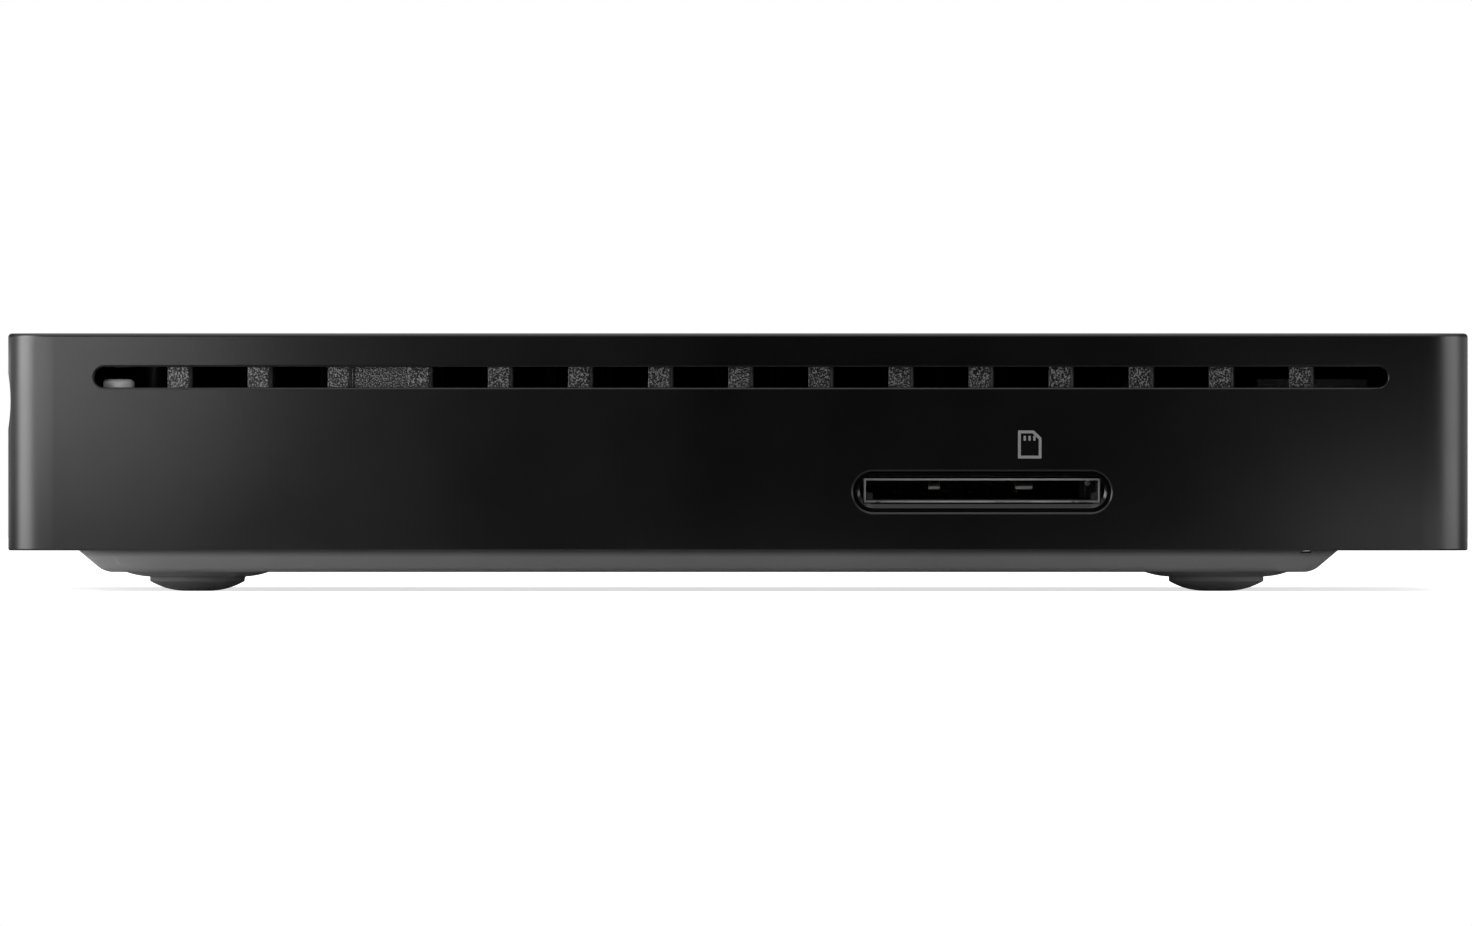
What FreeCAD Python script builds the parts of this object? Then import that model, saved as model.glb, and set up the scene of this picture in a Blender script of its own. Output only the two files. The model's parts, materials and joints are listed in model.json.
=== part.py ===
import FreeCAD, Part
import math
import os

# A flat digital signage player on four rubber feet, as separate pieces.
# X runs from the front face to the rear panel, Y from the memory-card side to the far side, Z up.
# The origin lies on the table under the middle of the case. All sizes are in millimetres.

# Case
body_length = 155.0
body_width = 155.0
cover_height = 23.05
wall = 2.0
lid_thickness = 2.0
corner_radius = 5.0
top_edge_radius = 0.42
lower_edge_bevel = 0.2
fit_gap = 0.15

# Hollow along the front face
hollow_radius = 16.7
hollow_depth = 0.27
hollow_drop = 7.18

# Ventilation slots, one in each long side
vent_front_inset = 9.21
vent_rear_inset = 8.56
vent_height = 2.16
vent_drop = 4.66
vent_bevel = 0.24

# Ribbed grilles behind the slots
grille_seat_depth = 0.8
grille_depth = 2.8
grille_border = 1.6
grille_window_margin = 0.3
rib_width = 2.7
rib_pitch = 8.5
rib_end_space = 7.0
rib_bevel = 0.6
closed_field_index = 2
closed_field_setback = 0.25
closed_field_seam = 0.16

# Foam dust filter on the back of the far side's grille
filter_sink_gap = 0.1

# Base plate
plate_thickness = 1.8
dish_depth = 2.31
dish_slope = 1.19
dish_front_inset = 7.3
dish_rear_inset = 13.6
dish_side_inset = 7.3
dish_corner_radius = 9.0
dish_edge_radius = 2.2
flange_recess = 0.3

# Feet and the pads that they sit in
pad_radius = 7.65
pad_height = 0.51
pad_dome_width = 2.95
foot_radius = 5.05
foot_height = 1.51
foot_side_height = 0.47
foot_flat_radius = 1.2
foot_seat_depth = 0.4
foot_seat_gap = 0.08
foot_front_inset = 12.6
foot_rear_inset = 12.95
foot_side_inset = 12.8
far_foot_spread = 1.3

# Threaded inserts for a bracket
insert_spacing = 75.0
insert_radius = 2.8
insert_bore_radius = 1.65
insert_length = 4.5
insert_roof = 0.6
insert_boss_wall = 1.8
insert_groove_depth = 0.3
insert_groove_width = 0.7

# Openings and the blank label field under the base
floor_slot_length = 22.0
floor_slot_width = 2.2
floor_slot_pitch = 5.0
floor_slot_row_inset = 38.0
floor_slot_field = 52.0
label_length = 54.0
label_width = 36.0
label_depth = 0.3
label_corner_radius = 2.0

# Screws
base_head_radius = 2.6
base_head_height = 1.7
base_shank_radius = 1.4
base_shank_length = 9.0
base_head_sink = 0.4
small_head_radius = 1.7
small_head_height = 1.3
small_shank_radius = 0.95
small_shank_length = 5.0
head_dome = 0.5
cross_length = 2.0
cross_width = 0.55
cross_depth = 0.8
thread_gap = 0.03
pilot_spare = 1.0
screw_pad_roof = 1.6
screw_pad_wall = 1.7
cover_post_radius = 3.1
front_post_inset = 15.0
front_post_y = 34.0
rear_post_inset_x = 7.5
rear_post_inset_y = 9.5

# Main board
board_thickness = 1.6
board_insert_gap = 0.48
board_front_inset = 19.0
board_side_inset = 5.0
board_rear_gap = 0.4
board_notch_gap = 1.4
board_screw_front_inset = 5.5
board_screw_rear_inset = 13.5
board_front_screw_inset_y = 10.5
board_rear_screw_inset_y = 5.0
standoff_radius = 2.75

# Chips and parts on the main board
processor_size = 23.0
processor_height = 1.4
processor_lid_inset = 2.5
processor_lid_height = 0.5
processor_x = -5.0
processor_y = 5.0
thermal_pad_size = 20.0
thermal_pad_thickness = 0.8
memory_length = 10.6
memory_width = 7.5
memory_height = 1.0
memory_pitch = 12.0
memory_offset = 24.0
memory_count = 4
storage_length = 13.0
storage_width = 11.5
storage_height = 1.0
storage_offset = 28.0
inductor_size = 7.0
inductor_height = 4.0
inductor_pitch = 10.0
inductor_count = 3
power_row_inset = 26.5
power_row_y = -24.0
capacitor_radius = 3.15
capacitor_height = 5.8
capacitor_pitch = 8.0
capacitor_count = 3
capacitor_row_y = 8.0
capacitor_base_height = 1.0
cell_radius = 10.0
cell_height = 3.2
cell_front_inset = 20.5
cell_card_inset = 28.5
holder_wall = 1.2
holder_floor = 0.8
holder_height = 3.0
holder_gap = 0.1
radio_length = 22.0
radio_width = 30.0
radio_board_height = 1.0
radio_front_inset = 21.5
radio_far_inset = 24.5
shield_inset = 1.0
shield_height = 2.2
sheet_thickness = 0.25

# Heat sink
sink_plate_thickness = 2.0
sink_front_inset = 19.5
sink_rear_inset = 29.5
sink_side_inset = 5.5
sink_block_size = 26.0
fin_height = 3.4
fin_thickness = 1.2
fin_pitch = 6.0
fin_field_inset = 8.0
fin_side_inset = 27.5
fin_lid_gap = 0.74
sink_ear_width = 5.0
sink_ear_end_inset = 9.3
sink_post_radius = 2.3
sink_screw_front_inset = 11.7
sink_screw_side_inset = 7.5
sink_screw_rear_inset = 34.7
sink_screw_rear_y = 38.0
sink_hole_gap = 0.2
board_hole_gap = 0.6

# Memory-card slot and its bezel ring
card_slot_rear_inset = 51.61
card_slot_length = 27.25
card_slot_height = 4.16
card_slot_bevel = 0.4
card_slot_drop = 0.145
bezel_recess = 0.4
bezel_gap = 0.05
bezel_lip_wall = 0.25
bezel_flare_depth = 0.3
bezel_flare_width = 0.32
bezel_mouth_border = 0.06
bezel_flange_border = 1.2
bezel_flange_thickness = 0.8
bezel_web_thickness = 0.6
bezel_mouth_gap = 0.1

# Memory-card connector
mouth_width = 25.06
mouth_height = 2.55
mouth_lift = 0.23
mouth_gap = 0.1
mouth_depth = 1.5
shell_sheet = 0.2
connector_depth = 28.8
slider_bay_width = 2.9
connector_floor = 0.32
connector_back_wall = 1.6
guide_rail = 0.72
guide_front_gap = 1.2
card_stop_length = 3.0
lip_breaks = [(1.3, 0.4), (13.9, 3.9), (22.1, 0.25), (22.8, 1.6)]
lip_break_depth = 0.9
contact_pitch = 2.5
contact_width = 0.6
contact_thickness = 0.15
contact_count = 8
contact_start = 3.58
contact_last_pitch = 1.6
contact_reach = 9.0
contact_high = 0.45
contact_low = 1.75
contact_tip_length = 1.5
contact_tip_rise = 0.5
leaf_width = 1.2
leaf_place = 6.85
wide_leaf_width = 1.8
wide_leaf_place = 16.1
leaf_length = 5.0
leaf_drop = 0.95
leaf_start = 3.0
card_width = 24.0

# Card slider, its spring and its wire pin
slider_travel = 5.5
slider_length = 10.0
slider_start = 6.6
slider_gap = 0.1
hook_length = 2.5
hook_reach = 1.6
hook_groove_width = 0.25
hook_groove_depth = 0.2
hook_groove_count = 3
spring_radius = 0.65
spring_wire_radius = 0.1
spring_turns = 12
spigot_radius = 0.4
spigot_length = 3.0
wire_radius = 0.2
wire_groove_gap = 0.15
wire_inset = 0.65
wire_bend = 0.4
wire_tip_drop = 0.6

# Rear panel
panel_side_inset = 12.5
panel_top_drop = 1.2
panel_recess = 0.8
panel_flange = 1.2
panel_flange_thickness = 1.6
port_recess = 0.2
port_gap = 0.2

# Power inlet
inlet_width = 9.0
inlet_height = 11.0
inlet_depth = 14.0
inlet_nose_radius = 3.9
inlet_nose_length = 2.6
inlet_bore_radius = 3.15
inlet_bore_depth = 10.0
inlet_bore_height = 6.5
inlet_pin_radius = 1.0
inlet_pin_setback = 1.0

# Network socket
lan_width = 16.0
lan_height = 13.4
lan_depth = 21.0
lan_mouth_width = 11.9
lan_mouth_height = 6.9
lan_mouth_depth = 13.0
lan_mouth_floor = 3.4
lan_latch_width = 6.2
lan_latch_height = 1.9
lan_contact_count = 8
lan_contact_pitch = 1.02
lan_contact_width = 0.35
lan_contact_rise = 1.3
lan_contact_setback = 1.8
lan_contact_root = 1.0
lan_light_width = 2.6
lan_light_height = 1.6

# USB socket
usb_width = 13.1
usb_height = 5.7
usb_depth = 14.0
usb_sheet = 0.3
usb_tongue_width = 11.1
usb_tongue_height = 1.84
usb_tongue_length = 8.6
usb_tongue_drop = 0.45
usb_contact_count = 4
usb_contact_pitch = 2.25
usb_contact_width = 1.0

# Video sockets
video_width = 15.0
video_height = 5.6
video_depth = 12.0
video_sheet = 0.4
video_slant = 1.9
video_side_height = 3.0
video_tongue_width = 10.6
video_tongue_height = 1.3
video_tongue_length = 6.6
video_contact_count = 10
video_contact_pitch = 1.0
video_contact_width = 0.45
video_count = 2

# Round 3.5 mm sockets
jack_width = 6.2
jack_height = 5.4
jack_depth = 14.0
jack_bore_radius = 1.8
jack_nose_radius = 2.9
jack_nose_length = 2.6
jack_bore_depth = 12.5
jack_count = 3

# Shared details of the sockets
socket_back_wall = 3.0
plated_strip = 0.12

# Front controls
window_length = 16.0
window_height = 3.2
window_flange = 0.8
window_gap = 0.06
front_flange_thickness = 0.6
button_radius = 3.0
button_y = 30.0
button_gap = 0.12
button_flange = 0.8
button_face_recess = 0.05
button_travel = 0.3
front_board_thickness = 1.2
front_board_gap = 3.3
front_board_low_y = -10.0
front_board_end = 10.0
front_board_top_gap = 1.0
front_board_drop = 5.2
front_boss_radius = 2.1
front_boss_drop = 4.7
front_boss_y = -6.0
front_boss_offset = 6.0
switch_size = 6.0
switch_height = 2.2
plunger_radius = 1.7
plunger_gap = 0.08
plunger_tail = 1.1
plunger_spare = 0.2
receiver_width = 5.6
receiver_height = 4.2
receiver_depth = 2.3
light_y = 5.0
light_width = 1.6
light_height = 0.8
light_depth = 0.7
ribbon_width = 8.0
ribbon_thickness = 0.3
ribbon_y = 16.0
ribbon_bend = 2.0
ribbon_entry_height = 0.8
ribbon_drop = 2.2
socket_width = 10.0
socket_length = 4.0
socket_height = 1.6
socket_front_gap = 1.4

# Levels and planes worked out from the sizes above
near = 1e-4
Vector = FreeCAD.Vector
X = Vector(1, 0, 0)
Y = Vector(0, 1, 0)
Z = Vector(0, 0, 1)
front_x = -body_length / 2
rear_x = body_length / 2
card_y = -body_width / 2
far_y = body_width / 2
underside_z = foot_height + pad_height
cover_z = underside_z + dish_depth
top_z = cover_z + cover_height
ceiling_z = top_z - lid_thickness
inside_front_x = front_x + wall
inside_rear_x = rear_x - wall
inside_card_y = card_y + wall
grille_back_y = inside_card_y - grille_seat_depth + grille_depth
hollow_z = top_z - hollow_drop
vent_z = top_z - vent_drop
vent_start_x = front_x + vent_front_inset
vent_end_x = rear_x - vent_rear_inset
vent_middle_x = (vent_start_x + vent_end_x) / 2
flange_z = cover_z + flange_recess
flange_top_z = flange_z + plate_thickness
floor_z = underside_z + plate_thickness
dish_front_x = front_x + dish_front_inset
dish_rear_x = rear_x - dish_rear_inset
dish_middle_x = (dish_front_x + dish_rear_x) / 2
dish_card_y = card_y + dish_side_inset
board_low_z = underside_z + insert_length + insert_roof + board_insert_gap
board_z = board_low_z + board_thickness
panel_half = body_width / 2 - panel_side_inset
panel_top_z = ceiling_z - panel_top_drop
panel_face_x = rear_x - panel_recess
panel_back_x = inside_rear_x - panel_flange_thickness
port_x = panel_face_x - port_recess
board_front_x = front_x + board_front_inset
board_rear_x = panel_back_x - board_rear_gap
board_card_y = card_y + board_side_inset
board_far_y = far_y - board_side_inset
cell_x = board_front_x + cell_front_inset
cell_y = board_card_y + cell_card_inset
radio_x = board_front_x + radio_front_inset
radio_y = board_far_y - radio_far_inset
sink_top_z = ceiling_z - fin_lid_gap - fin_height
sink_low_z = sink_top_z - sink_plate_thickness
processor_top_z = board_z + processor_height
pad_top_z = processor_top_z + thermal_pad_thickness
slot_x = rear_x - card_slot_rear_inset
mouth_y = inside_card_y + bezel_flange_thickness + mouth_gap
mouth_low_z = board_z + mouth_lift
mouth_z = mouth_low_z + mouth_height / 2
mouth_left_x = slot_x - mouth_width / 2
mouth_right_x = slot_x + mouth_width / 2
slot_z = mouth_z - card_slot_drop
shell_top_z = mouth_low_z + mouth_height
shell_under_z = shell_top_z - shell_sheet
connector_back_y = mouth_y + connector_depth
connector_right_x = mouth_right_x + slider_bay_width
card_floor_z = mouth_low_z + connector_floor
front_board_x = inside_front_x + front_board_gap
front_board_low_z = hollow_z - window_height / 2 - front_board_drop
front_board_top_z = ceiling_z - front_board_top_gap
front_board_high_y = button_y + front_board_end
front_boss_z = hollow_z - front_boss_drop


def block(x0, x1, y0, y1, z0, z1):
    """A box between two corners."""
    return Part.makeBox(x1 - x0, y1 - y0, z1 - z0, Vector(x0, y0, z0))


def slab(x, y, length, width, z0, z1):
    """A box round an upright axis, length along X and width along Y."""
    return block(x - length / 2, x + length / 2, y - width / 2, y + width / 2, z0, z1)


def rod(radius, start, end):
    """A round bar between two points."""
    along = end - start
    return Part.makeCylinder(radius, along.Length, start, along)


def post(radius, x, y, z0, z1):
    """An upright round bar."""
    return Part.makeCylinder(radius, z1 - z0, Vector(x, y, z0))


def domed_post(x, y, flat_radius, radius, low, side_low, top):
    """An upright round bar that ends below in a shallow dome with a flat."""
    run = radius - flat_radius
    rise = side_low - low
    bow = (run * run + rise * rise) / (2 * rise)
    half_turn = math.atan2(run, bow - rise) / 2
    middle = Vector(flat_radius + bow * math.sin(half_turn), 0, low + bow * (1 - math.cos(half_turn)))
    flat_end = Vector(flat_radius, 0, low)
    side_end = Vector(radius, 0, side_low)
    outline = Part.Wire([
        Part.makeLine(Vector(0, 0, low), flat_end),
        Part.Arc(flat_end, middle, side_end).toShape(),
        Part.makeLine(side_end, Vector(radius, 0, top)),
        Part.makeLine(Vector(radius, 0, top), Vector(0, 0, top)),
        Part.makeLine(Vector(0, 0, top), Vector(0, 0, low)),
    ])
    solid = Part.Face(outline).revolve(Vector(0, 0, 0), Z, 360)
    solid.translate(Vector(x, y, 0))
    return solid


def join(shapes):
    """One solid from shapes that touch or overlap."""
    whole = shapes[0].multiFuse(shapes[1:]) if len(shapes) > 1 else shapes[0]
    whole = whole.removeSplitter()
    return whole.Solids[0] if len(whole.Solids) == 1 else whole


def carve(shape, cutters):
    """The shape without the cutters."""
    left = shape.cut(cutters)
    return left.Solids[0] if len(left.Solids) == 1 else left


def polygon(points):
    """A closed outline through the points."""
    return Part.makePolygon(list(points) + [points[0]])


def prism(outline, along):
    """A solid with the outline as its section."""
    return Part.Face(outline).extrude(along)


def taper(first, last):
    """A solid with straight sides between two outlines."""
    return Part.makeLoft([first, last], True, True)


def both_sides(shape):
    """The shape and its mirror image on the far side of the case."""
    return [shape, shape.mirror(Vector(0, 0, 0), Y)]


def edges_at(shape, z):
    """The edges that lie flat at one height."""
    def level(edge):
        box = edge.BoundBox
        return abs(box.ZMin - z) < near and abs(box.ZMax - z) < near

    return [edge for edge in shape.Edges if level(edge)]


def rounded_outline(x0, x1, y0, y1, z, radius):
    """A level rectangle with rounded corners."""
    corners = [(x1, y1), (x0, y1), (x0, y0), (x1, y0)]
    edges = []
    for number, (x, y) in enumerate(corners):
        middle_x = x - math.copysign(radius, x - (x0 + x1) / 2)
        middle_y = y - math.copysign(radius, y - (y0 + y1) / 2)
        middle = Vector(middle_x, middle_y, z)
        edges.append(Part.makeCircle(radius, middle, Z, number * 90, number * 90 + 90))
    sides = []
    for number, corner in enumerate(edges):
        following = edges[(number + 1) % len(edges)]
        sides.append(corner)
        sides.append(Part.makeLine(corner.Vertexes[-1].Point, following.Vertexes[0].Point))
    return Part.Wire(sides)


def stadium(middle, length, height, along, facing):
    """An upright outline with two straight sides and two half-round ends."""
    radius = height / 2
    up = facing.cross(along) * radius
    tip = along * radius
    right = middle + along * (length / 2 - radius)
    left = middle - along * (length / 2 - radius)
    return Part.Wire([
        Part.makeLine(left + up, right + up),
        Part.Arc(right + up, right + tip, right - up).toShape(),
        Part.makeLine(right - up, left - up),
        Part.Arc(left - up, left - tip, left + up).toShape(),
    ])


def side_slot(middle_x, middle_z, length, height, bevel):
    """The cutter for a slot through the card side's wall, with its bevelled rim."""
    start = Vector(middle_x, card_y - wall, middle_z)
    through = prism(stadium(start, length, height, X, Y), Y * (3 * wall))
    wider = 2 * (bevel + bevel)
    outer = stadium(Vector(middle_x, card_y - bevel, middle_z), length + wider, height + wider, X, Y)
    inner = stadium(Vector(middle_x, card_y + bevel, middle_z), length, height, X, Y)
    return [through, taper(outer, inner)]


def aimed(shape, place, outward):
    """A shape made along Z at the origin, turned to point outward and moved to its place."""
    copy = shape.copy()
    copy.Placement = FreeCAD.Placement(place, FreeCAD.Rotation(Z, outward))
    return copy


def pan_screw(place, outward, head_radius, head_height, shank_radius, shank_length):
    """A pan-head screw. Its head's seat is at place and its head stands outward."""
    head = Part.makeCylinder(head_radius, head_height)
    head = head.makeFillet(head_dome, edges_at(head, head_height))
    shank = Part.makeCylinder(shank_radius, shank_length, Vector(0, 0, -shank_length))
    low = head_height - cross_depth
    arms = [
        slab(0, 0, cross_length, cross_width, low, head_height),
        slab(0, 0, cross_width, cross_length, low, head_height),
    ]
    return aimed(carve(join([head, shank]), arms), place, outward)


def bent_strip(points, thickness, x0, x1):
    """A metal strip of even thickness that follows points (y, z), between x0 and x1."""
    path = [Vector(x0, y, z) for y, z in points]
    runs = [(b - a).normalize() for a, b in zip(path, path[1:])]
    normals = [X.cross(run) for run in runs]
    other = [path[0] + normals[0] * thickness]
    for before, after, point in zip(normals, normals[1:], path[1:]):
        both = before + after
        other.append(point + both * (thickness / both.dot(before)))
    other.append(path[-1] + normals[-1] * thickness)
    return prism(polygon(path + other[::-1]), X * (x1 - x0))


def outside_form():
    """The cover's outer form with its hollow front face."""
    form = prism(rounded_outline(front_x, rear_x, card_y, far_y, cover_z, corner_radius), Z * cover_height)
    form = form.makeFillet(top_edge_radius, edges_at(form, top_z))
    form = form.makeChamfer(lower_edge_bevel, edges_at(form, cover_z))
    axis_x = front_x - hollow_radius + hollow_depth
    start = Vector(axis_x, card_y - wall, hollow_z)
    end = Vector(axis_x, far_y + wall, hollow_z)
    return form.cut(rod(hollow_radius, start, end))


def screw_places():
    """Where the base screws go in, as (x, y, underside height there)."""
    places = []
    for side in (-1, 1):
        places.append((front_x + front_post_inset, side * front_post_y, underside_z))
        rear_y = side * (body_width / 2 - rear_post_inset_y)
        places.append((rear_x - rear_post_inset_x, rear_y, flange_z))
    return places


def screw_seat_z(low_z):
    """Where a base screw's head sits above the underside."""
    return low_z + base_head_height + base_head_sink


def screw_pad_z(low_z):
    """The top of the base plate's pad round a base screw."""
    return screw_seat_z(low_z) + screw_pad_roof


def front_boss_places():
    """Where the front board is screwed to the cover's front wall, as (y, z)."""
    return [(front_boss_y, front_boss_z), (button_y + front_boss_offset, front_boss_z)]


def grille_span():
    """The grille frame's extent: x0, x1, z0, z1."""
    low = vent_z - vent_height / 2 - grille_border
    return vent_start_x - grille_border, vent_end_x + grille_border, low, ceiling_z


def top_cover():
    """The cap: lid and four walls with slots, rear opening, screw posts and bosses."""
    inner_radius = corner_radius - wall
    inside = rounded_outline(
        inside_front_x, inside_rear_x, inside_card_y, far_y - wall, cover_z - wall, inner_radius)
    room = prism(inside, Z * (ceiling_z - cover_z + wall))
    posts = []
    holes = []
    for x, y, low_z in screw_places():
        low = screw_pad_z(low_z)
        pilot_top = screw_seat_z(low_z) + base_shank_length + pilot_spare
        posts.append(post(cover_post_radius, x, y, low, ceiling_z + lid_thickness / 2))
        holes.append(post(base_shank_radius + thread_gap, x, y, low, pilot_top))
    for y, z in front_boss_places():
        root = Vector(inside_front_x - wall / 2, y, z)
        tip = Vector(front_board_x, y, z)
        posts.append(rod(front_boss_radius, root, tip))
        holes.append(rod(small_shank_radius + thread_gap, Vector(inside_front_x, y, z), tip))
    x0, x1, z0, z1 = grille_span()
    seat_y = inside_card_y - grille_seat_depth
    seat = block(x0 - fit_gap, x1 + fit_gap, seat_y, inside_card_y, z0 - fit_gap, z1)
    slot = side_slot(vent_middle_x, vent_z, vent_end_x - vent_start_x, vent_height, vent_bevel)
    for cutter in [seat] + slot:
        holes += both_sides(cutter)
    holes += side_slot(slot_x, slot_z, card_slot_length, card_slot_height, card_slot_bevel)
    holes.append(slab(rear_x, 0, 2 * (2 * wall), 2 * panel_half, cover_z - wall, panel_top_z))
    window = stadium(Vector(front_x - wall, 0, hollow_z), window_length, window_height, Y, X)
    holes.append(prism(window, X * (3 * wall)))
    start = Vector(front_x - wall, button_y, hollow_z)
    holes.append(rod(button_radius + button_gap, start, start + X * (3 * wall)))
    shell = carve(outside_form(), [room])
    return carve(join([shell] + posts), holes)


def dish_outline(z, inset):
    """The base plate's dished part at one height, drawn in by inset."""
    run = (cover_z - z) * dish_slope + inset
    half = -dish_card_y - run
    radius = dish_corner_radius - run
    return rounded_outline(dish_front_x + run, dish_rear_x - run, -half, half, z, radius)


def foot_places():
    """The middle of each foot, by name. The far side's two stand further apart."""
    front = dish_front_x + foot_front_inset
    rear = dish_rear_x - foot_rear_inset
    side = dish_card_y + foot_side_inset
    return {
        "foot_front_card_side": (front, side),
        "foot_front_far_side": (front - far_foot_spread, -side),
        "foot_rear_card_side": (rear, side),
        "foot_rear_far_side": (rear + far_foot_spread, -side),
    }


def insert_places():
    """The middle of each threaded insert."""
    half = insert_spacing / 2
    return [(dish_middle_x + a * half, b * half) for a in (-1, 1) for b in (-1, 1)]


def sink_screw_places():
    """Where the heat sink's screws stand: two in ears beside the slots, two in its rear part."""
    places = []
    for side in (-1, 1):
        places.append((front_x + sink_screw_front_inset, side * (body_width / 2 - sink_screw_side_inset)))
        places.append((rear_x - sink_screw_rear_inset, side * sink_screw_rear_y))
    return places


def board_screw_places():
    """Where the main board is screwed to the base plate."""
    places = []
    for side in (-1, 1):
        front_y = side * (board_far_y - board_front_screw_inset_y)
        rear_y = side * (board_far_y - board_rear_screw_inset_y)
        places.append((board_front_x + board_screw_front_inset, front_y))
        places.append((board_rear_x - board_screw_rear_inset, rear_y))
    return places


def floor_slots():
    """Cutters for the two rows of air slots in the base plate's floor."""
    cutters = []
    count = int(floor_slot_field / floor_slot_pitch) + 1
    for side in (-1, 1):
        for x in spread(dish_middle_x, count, floor_slot_pitch):
            middle = Vector(x, side * floor_slot_row_inset, underside_z - plate_thickness)
            outline = stadium(middle, floor_slot_length, floor_slot_width, Y, Z)
            cutters.append(prism(outline, Z * (3 * plate_thickness)))
    return cutters


def base_plate():
    """The dished plate that closes the case, with its pads, bosses and posts."""
    gap = wall + fit_gap
    rim = rounded_outline(
        front_x + gap, rear_x - gap, card_y + gap, far_y - gap, flange_z, corner_radius - gap)
    flange = prism(rim, Z * plate_thickness)
    tongue_y = panel_half - fit_gap
    tongue = block(inside_rear_x - wall, panel_face_x, -tongue_y, tongue_y, flange_z, flange_top_z)
    dish = taper(dish_outline(underside_z, 0), dish_outline(flange_z, 0))
    dish = dish.makeFillet(dish_edge_radius, edges_at(dish, underside_z))
    side_wall = plate_thickness * math.hypot(1, dish_slope)
    above_z = flange_top_z + plate_thickness
    hollow = taper(dish_outline(floor_z, side_wall), dish_outline(above_z, side_wall))
    shell = carve(join([flange, tongue, dish]), [hollow])
    above = block(front_x + gap, rear_x - gap, card_y + gap, far_y - gap, flange_z, top_z)
    room = join([dish, above])

    added = []
    holes = floor_slots()
    for x, y, low_z in screw_places():
        seat = screw_seat_z(low_z)
        recess = base_head_radius + fit_gap
        added.append(post(recess + screw_pad_wall, x, y, low_z, screw_pad_z(low_z)))
        holes.append(post(recess, x, y, low_z - plate_thickness, seat))
        holes.append(post(base_shank_radius + fit_gap, x, y, seat, screw_pad_z(low_z)))
    for x, y in insert_places():
        top = underside_z + insert_length
        added.append(post(insert_radius + insert_boss_wall, x, y, underside_z, top + insert_roof))
        holes.append(post(insert_radius, x, y, underside_z, top))
    for x, y in sink_screw_places():
        added.append(post(sink_post_radius, x, y, underside_z, sink_low_z))
        deep = sink_top_z - small_shank_length - pilot_spare
        holes.append(post(small_shank_radius + thread_gap, x, y, deep, sink_low_z))
    for x, y in board_screw_places():
        added.append(post(standoff_radius, x, y, underside_z, board_low_z))
        deep = board_z - small_shank_length - fit_gap
        holes.append(post(small_shank_radius + thread_gap, x, y, deep, board_low_z))
    added = [piece.common(room) for piece in added]
    for x, y in foot_places().values():
        flat = pad_radius - pad_dome_width
        top = underside_z + plate_thickness / 2
        added.append(domed_post(x, y, flat, pad_radius, foot_height, underside_z, top))
        holes.append(post(foot_radius + foot_seat_gap, x, y, 0, foot_height + foot_seat_depth))
    start = dish_middle_x - label_length / 2
    half = label_width / 2
    label = rounded_outline(start, start + label_length, -half, half, underside_z, label_corner_radius)
    holes.append(prism(label, Z * label_depth))
    return carve(join([shell] + added), holes)


def foot(x, y):
    """A rubber foot: a short round side, then a shallow dome with a small flat."""
    side_low = foot_height - foot_side_height
    return domed_post(x, y, foot_flat_radius, foot_radius, 0, side_low, foot_height + foot_seat_depth)


def mount_inserts():
    """The four brass inserts with two grooves each."""
    inserts = []
    for x, y in insert_places():
        top = underside_z + insert_length
        cutters = [post(insert_bore_radius, x, y, underside_z, top)]
        for share in (1, 2):
            low = underside_z + insert_length * share / 3 - insert_groove_width / 2
            high = low + insert_groove_width
            ring = post(insert_radius, x, y, low, high)
            cutters.append(ring.cut(post(insert_radius - insert_groove_depth, x, y, low, high)))
        inserts.append(carve(post(insert_radius, x, y, underside_z, top), cutters))
    return inserts


def rib_places():
    """The middle of each rib along the slot."""
    room = vent_end_x - vent_start_x - rib_width - 2 * rib_end_space
    count = int(room / rib_pitch) + 1
    return spread(vent_middle_x, count, rib_pitch)


def vent_grille():
    """The ribbed frame behind the card side's ventilation slot."""
    x0, x1, z0, z1 = grille_span()
    front = grille_back_y - grille_depth
    back = grille_back_y
    half = vent_height / 2 + grille_window_margin
    margin = grille_window_margin
    frame = block(x0, x1, front, back, z0, z1 - fit_gap)
    window = block(vent_start_x - margin, vent_end_x + margin, front, back, vent_z - half, vent_z + half)
    frame = carve(frame, [window])
    bars = []
    corners = []
    for x in rib_places():
        right = x + rib_width / 2
        bars.append(block(x - rib_width / 2, right, front, back, vent_z - half, vent_z + half))
        corner = polygon([
            Vector(right - rib_bevel, front, vent_z - half),
            Vector(right, front, vent_z - half),
            Vector(right, front + rib_bevel, vent_z - half),
        ])
        corners.append(prism(corner, Z * (2 * half)))
    ribs = carve(join([frame] + bars), corners)
    left = rib_places()[closed_field_index] + rib_width / 2
    right = rib_places()[closed_field_index + 1] - rib_width / 2
    field_y = front + closed_field_setback
    field = block(left, right, field_y, back, vent_z - half, vent_z + half)
    seam = block(left, left + closed_field_seam, field_y, field_y + rib_bevel, vent_z - half, vent_z + half)
    return join([ribs, carve(field, [seam])])


def dust_filter():
    """A strip of open foam between the far side's grille and the heat sink."""
    x0, x1, z0, z1 = grille_span()
    sink_side_y = card_y + sink_side_inset
    strip = block(x0, x1, grille_back_y, sink_side_y - filter_sink_gap, z0, z1 - fit_gap)
    return both_sides(strip)[1]


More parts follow.
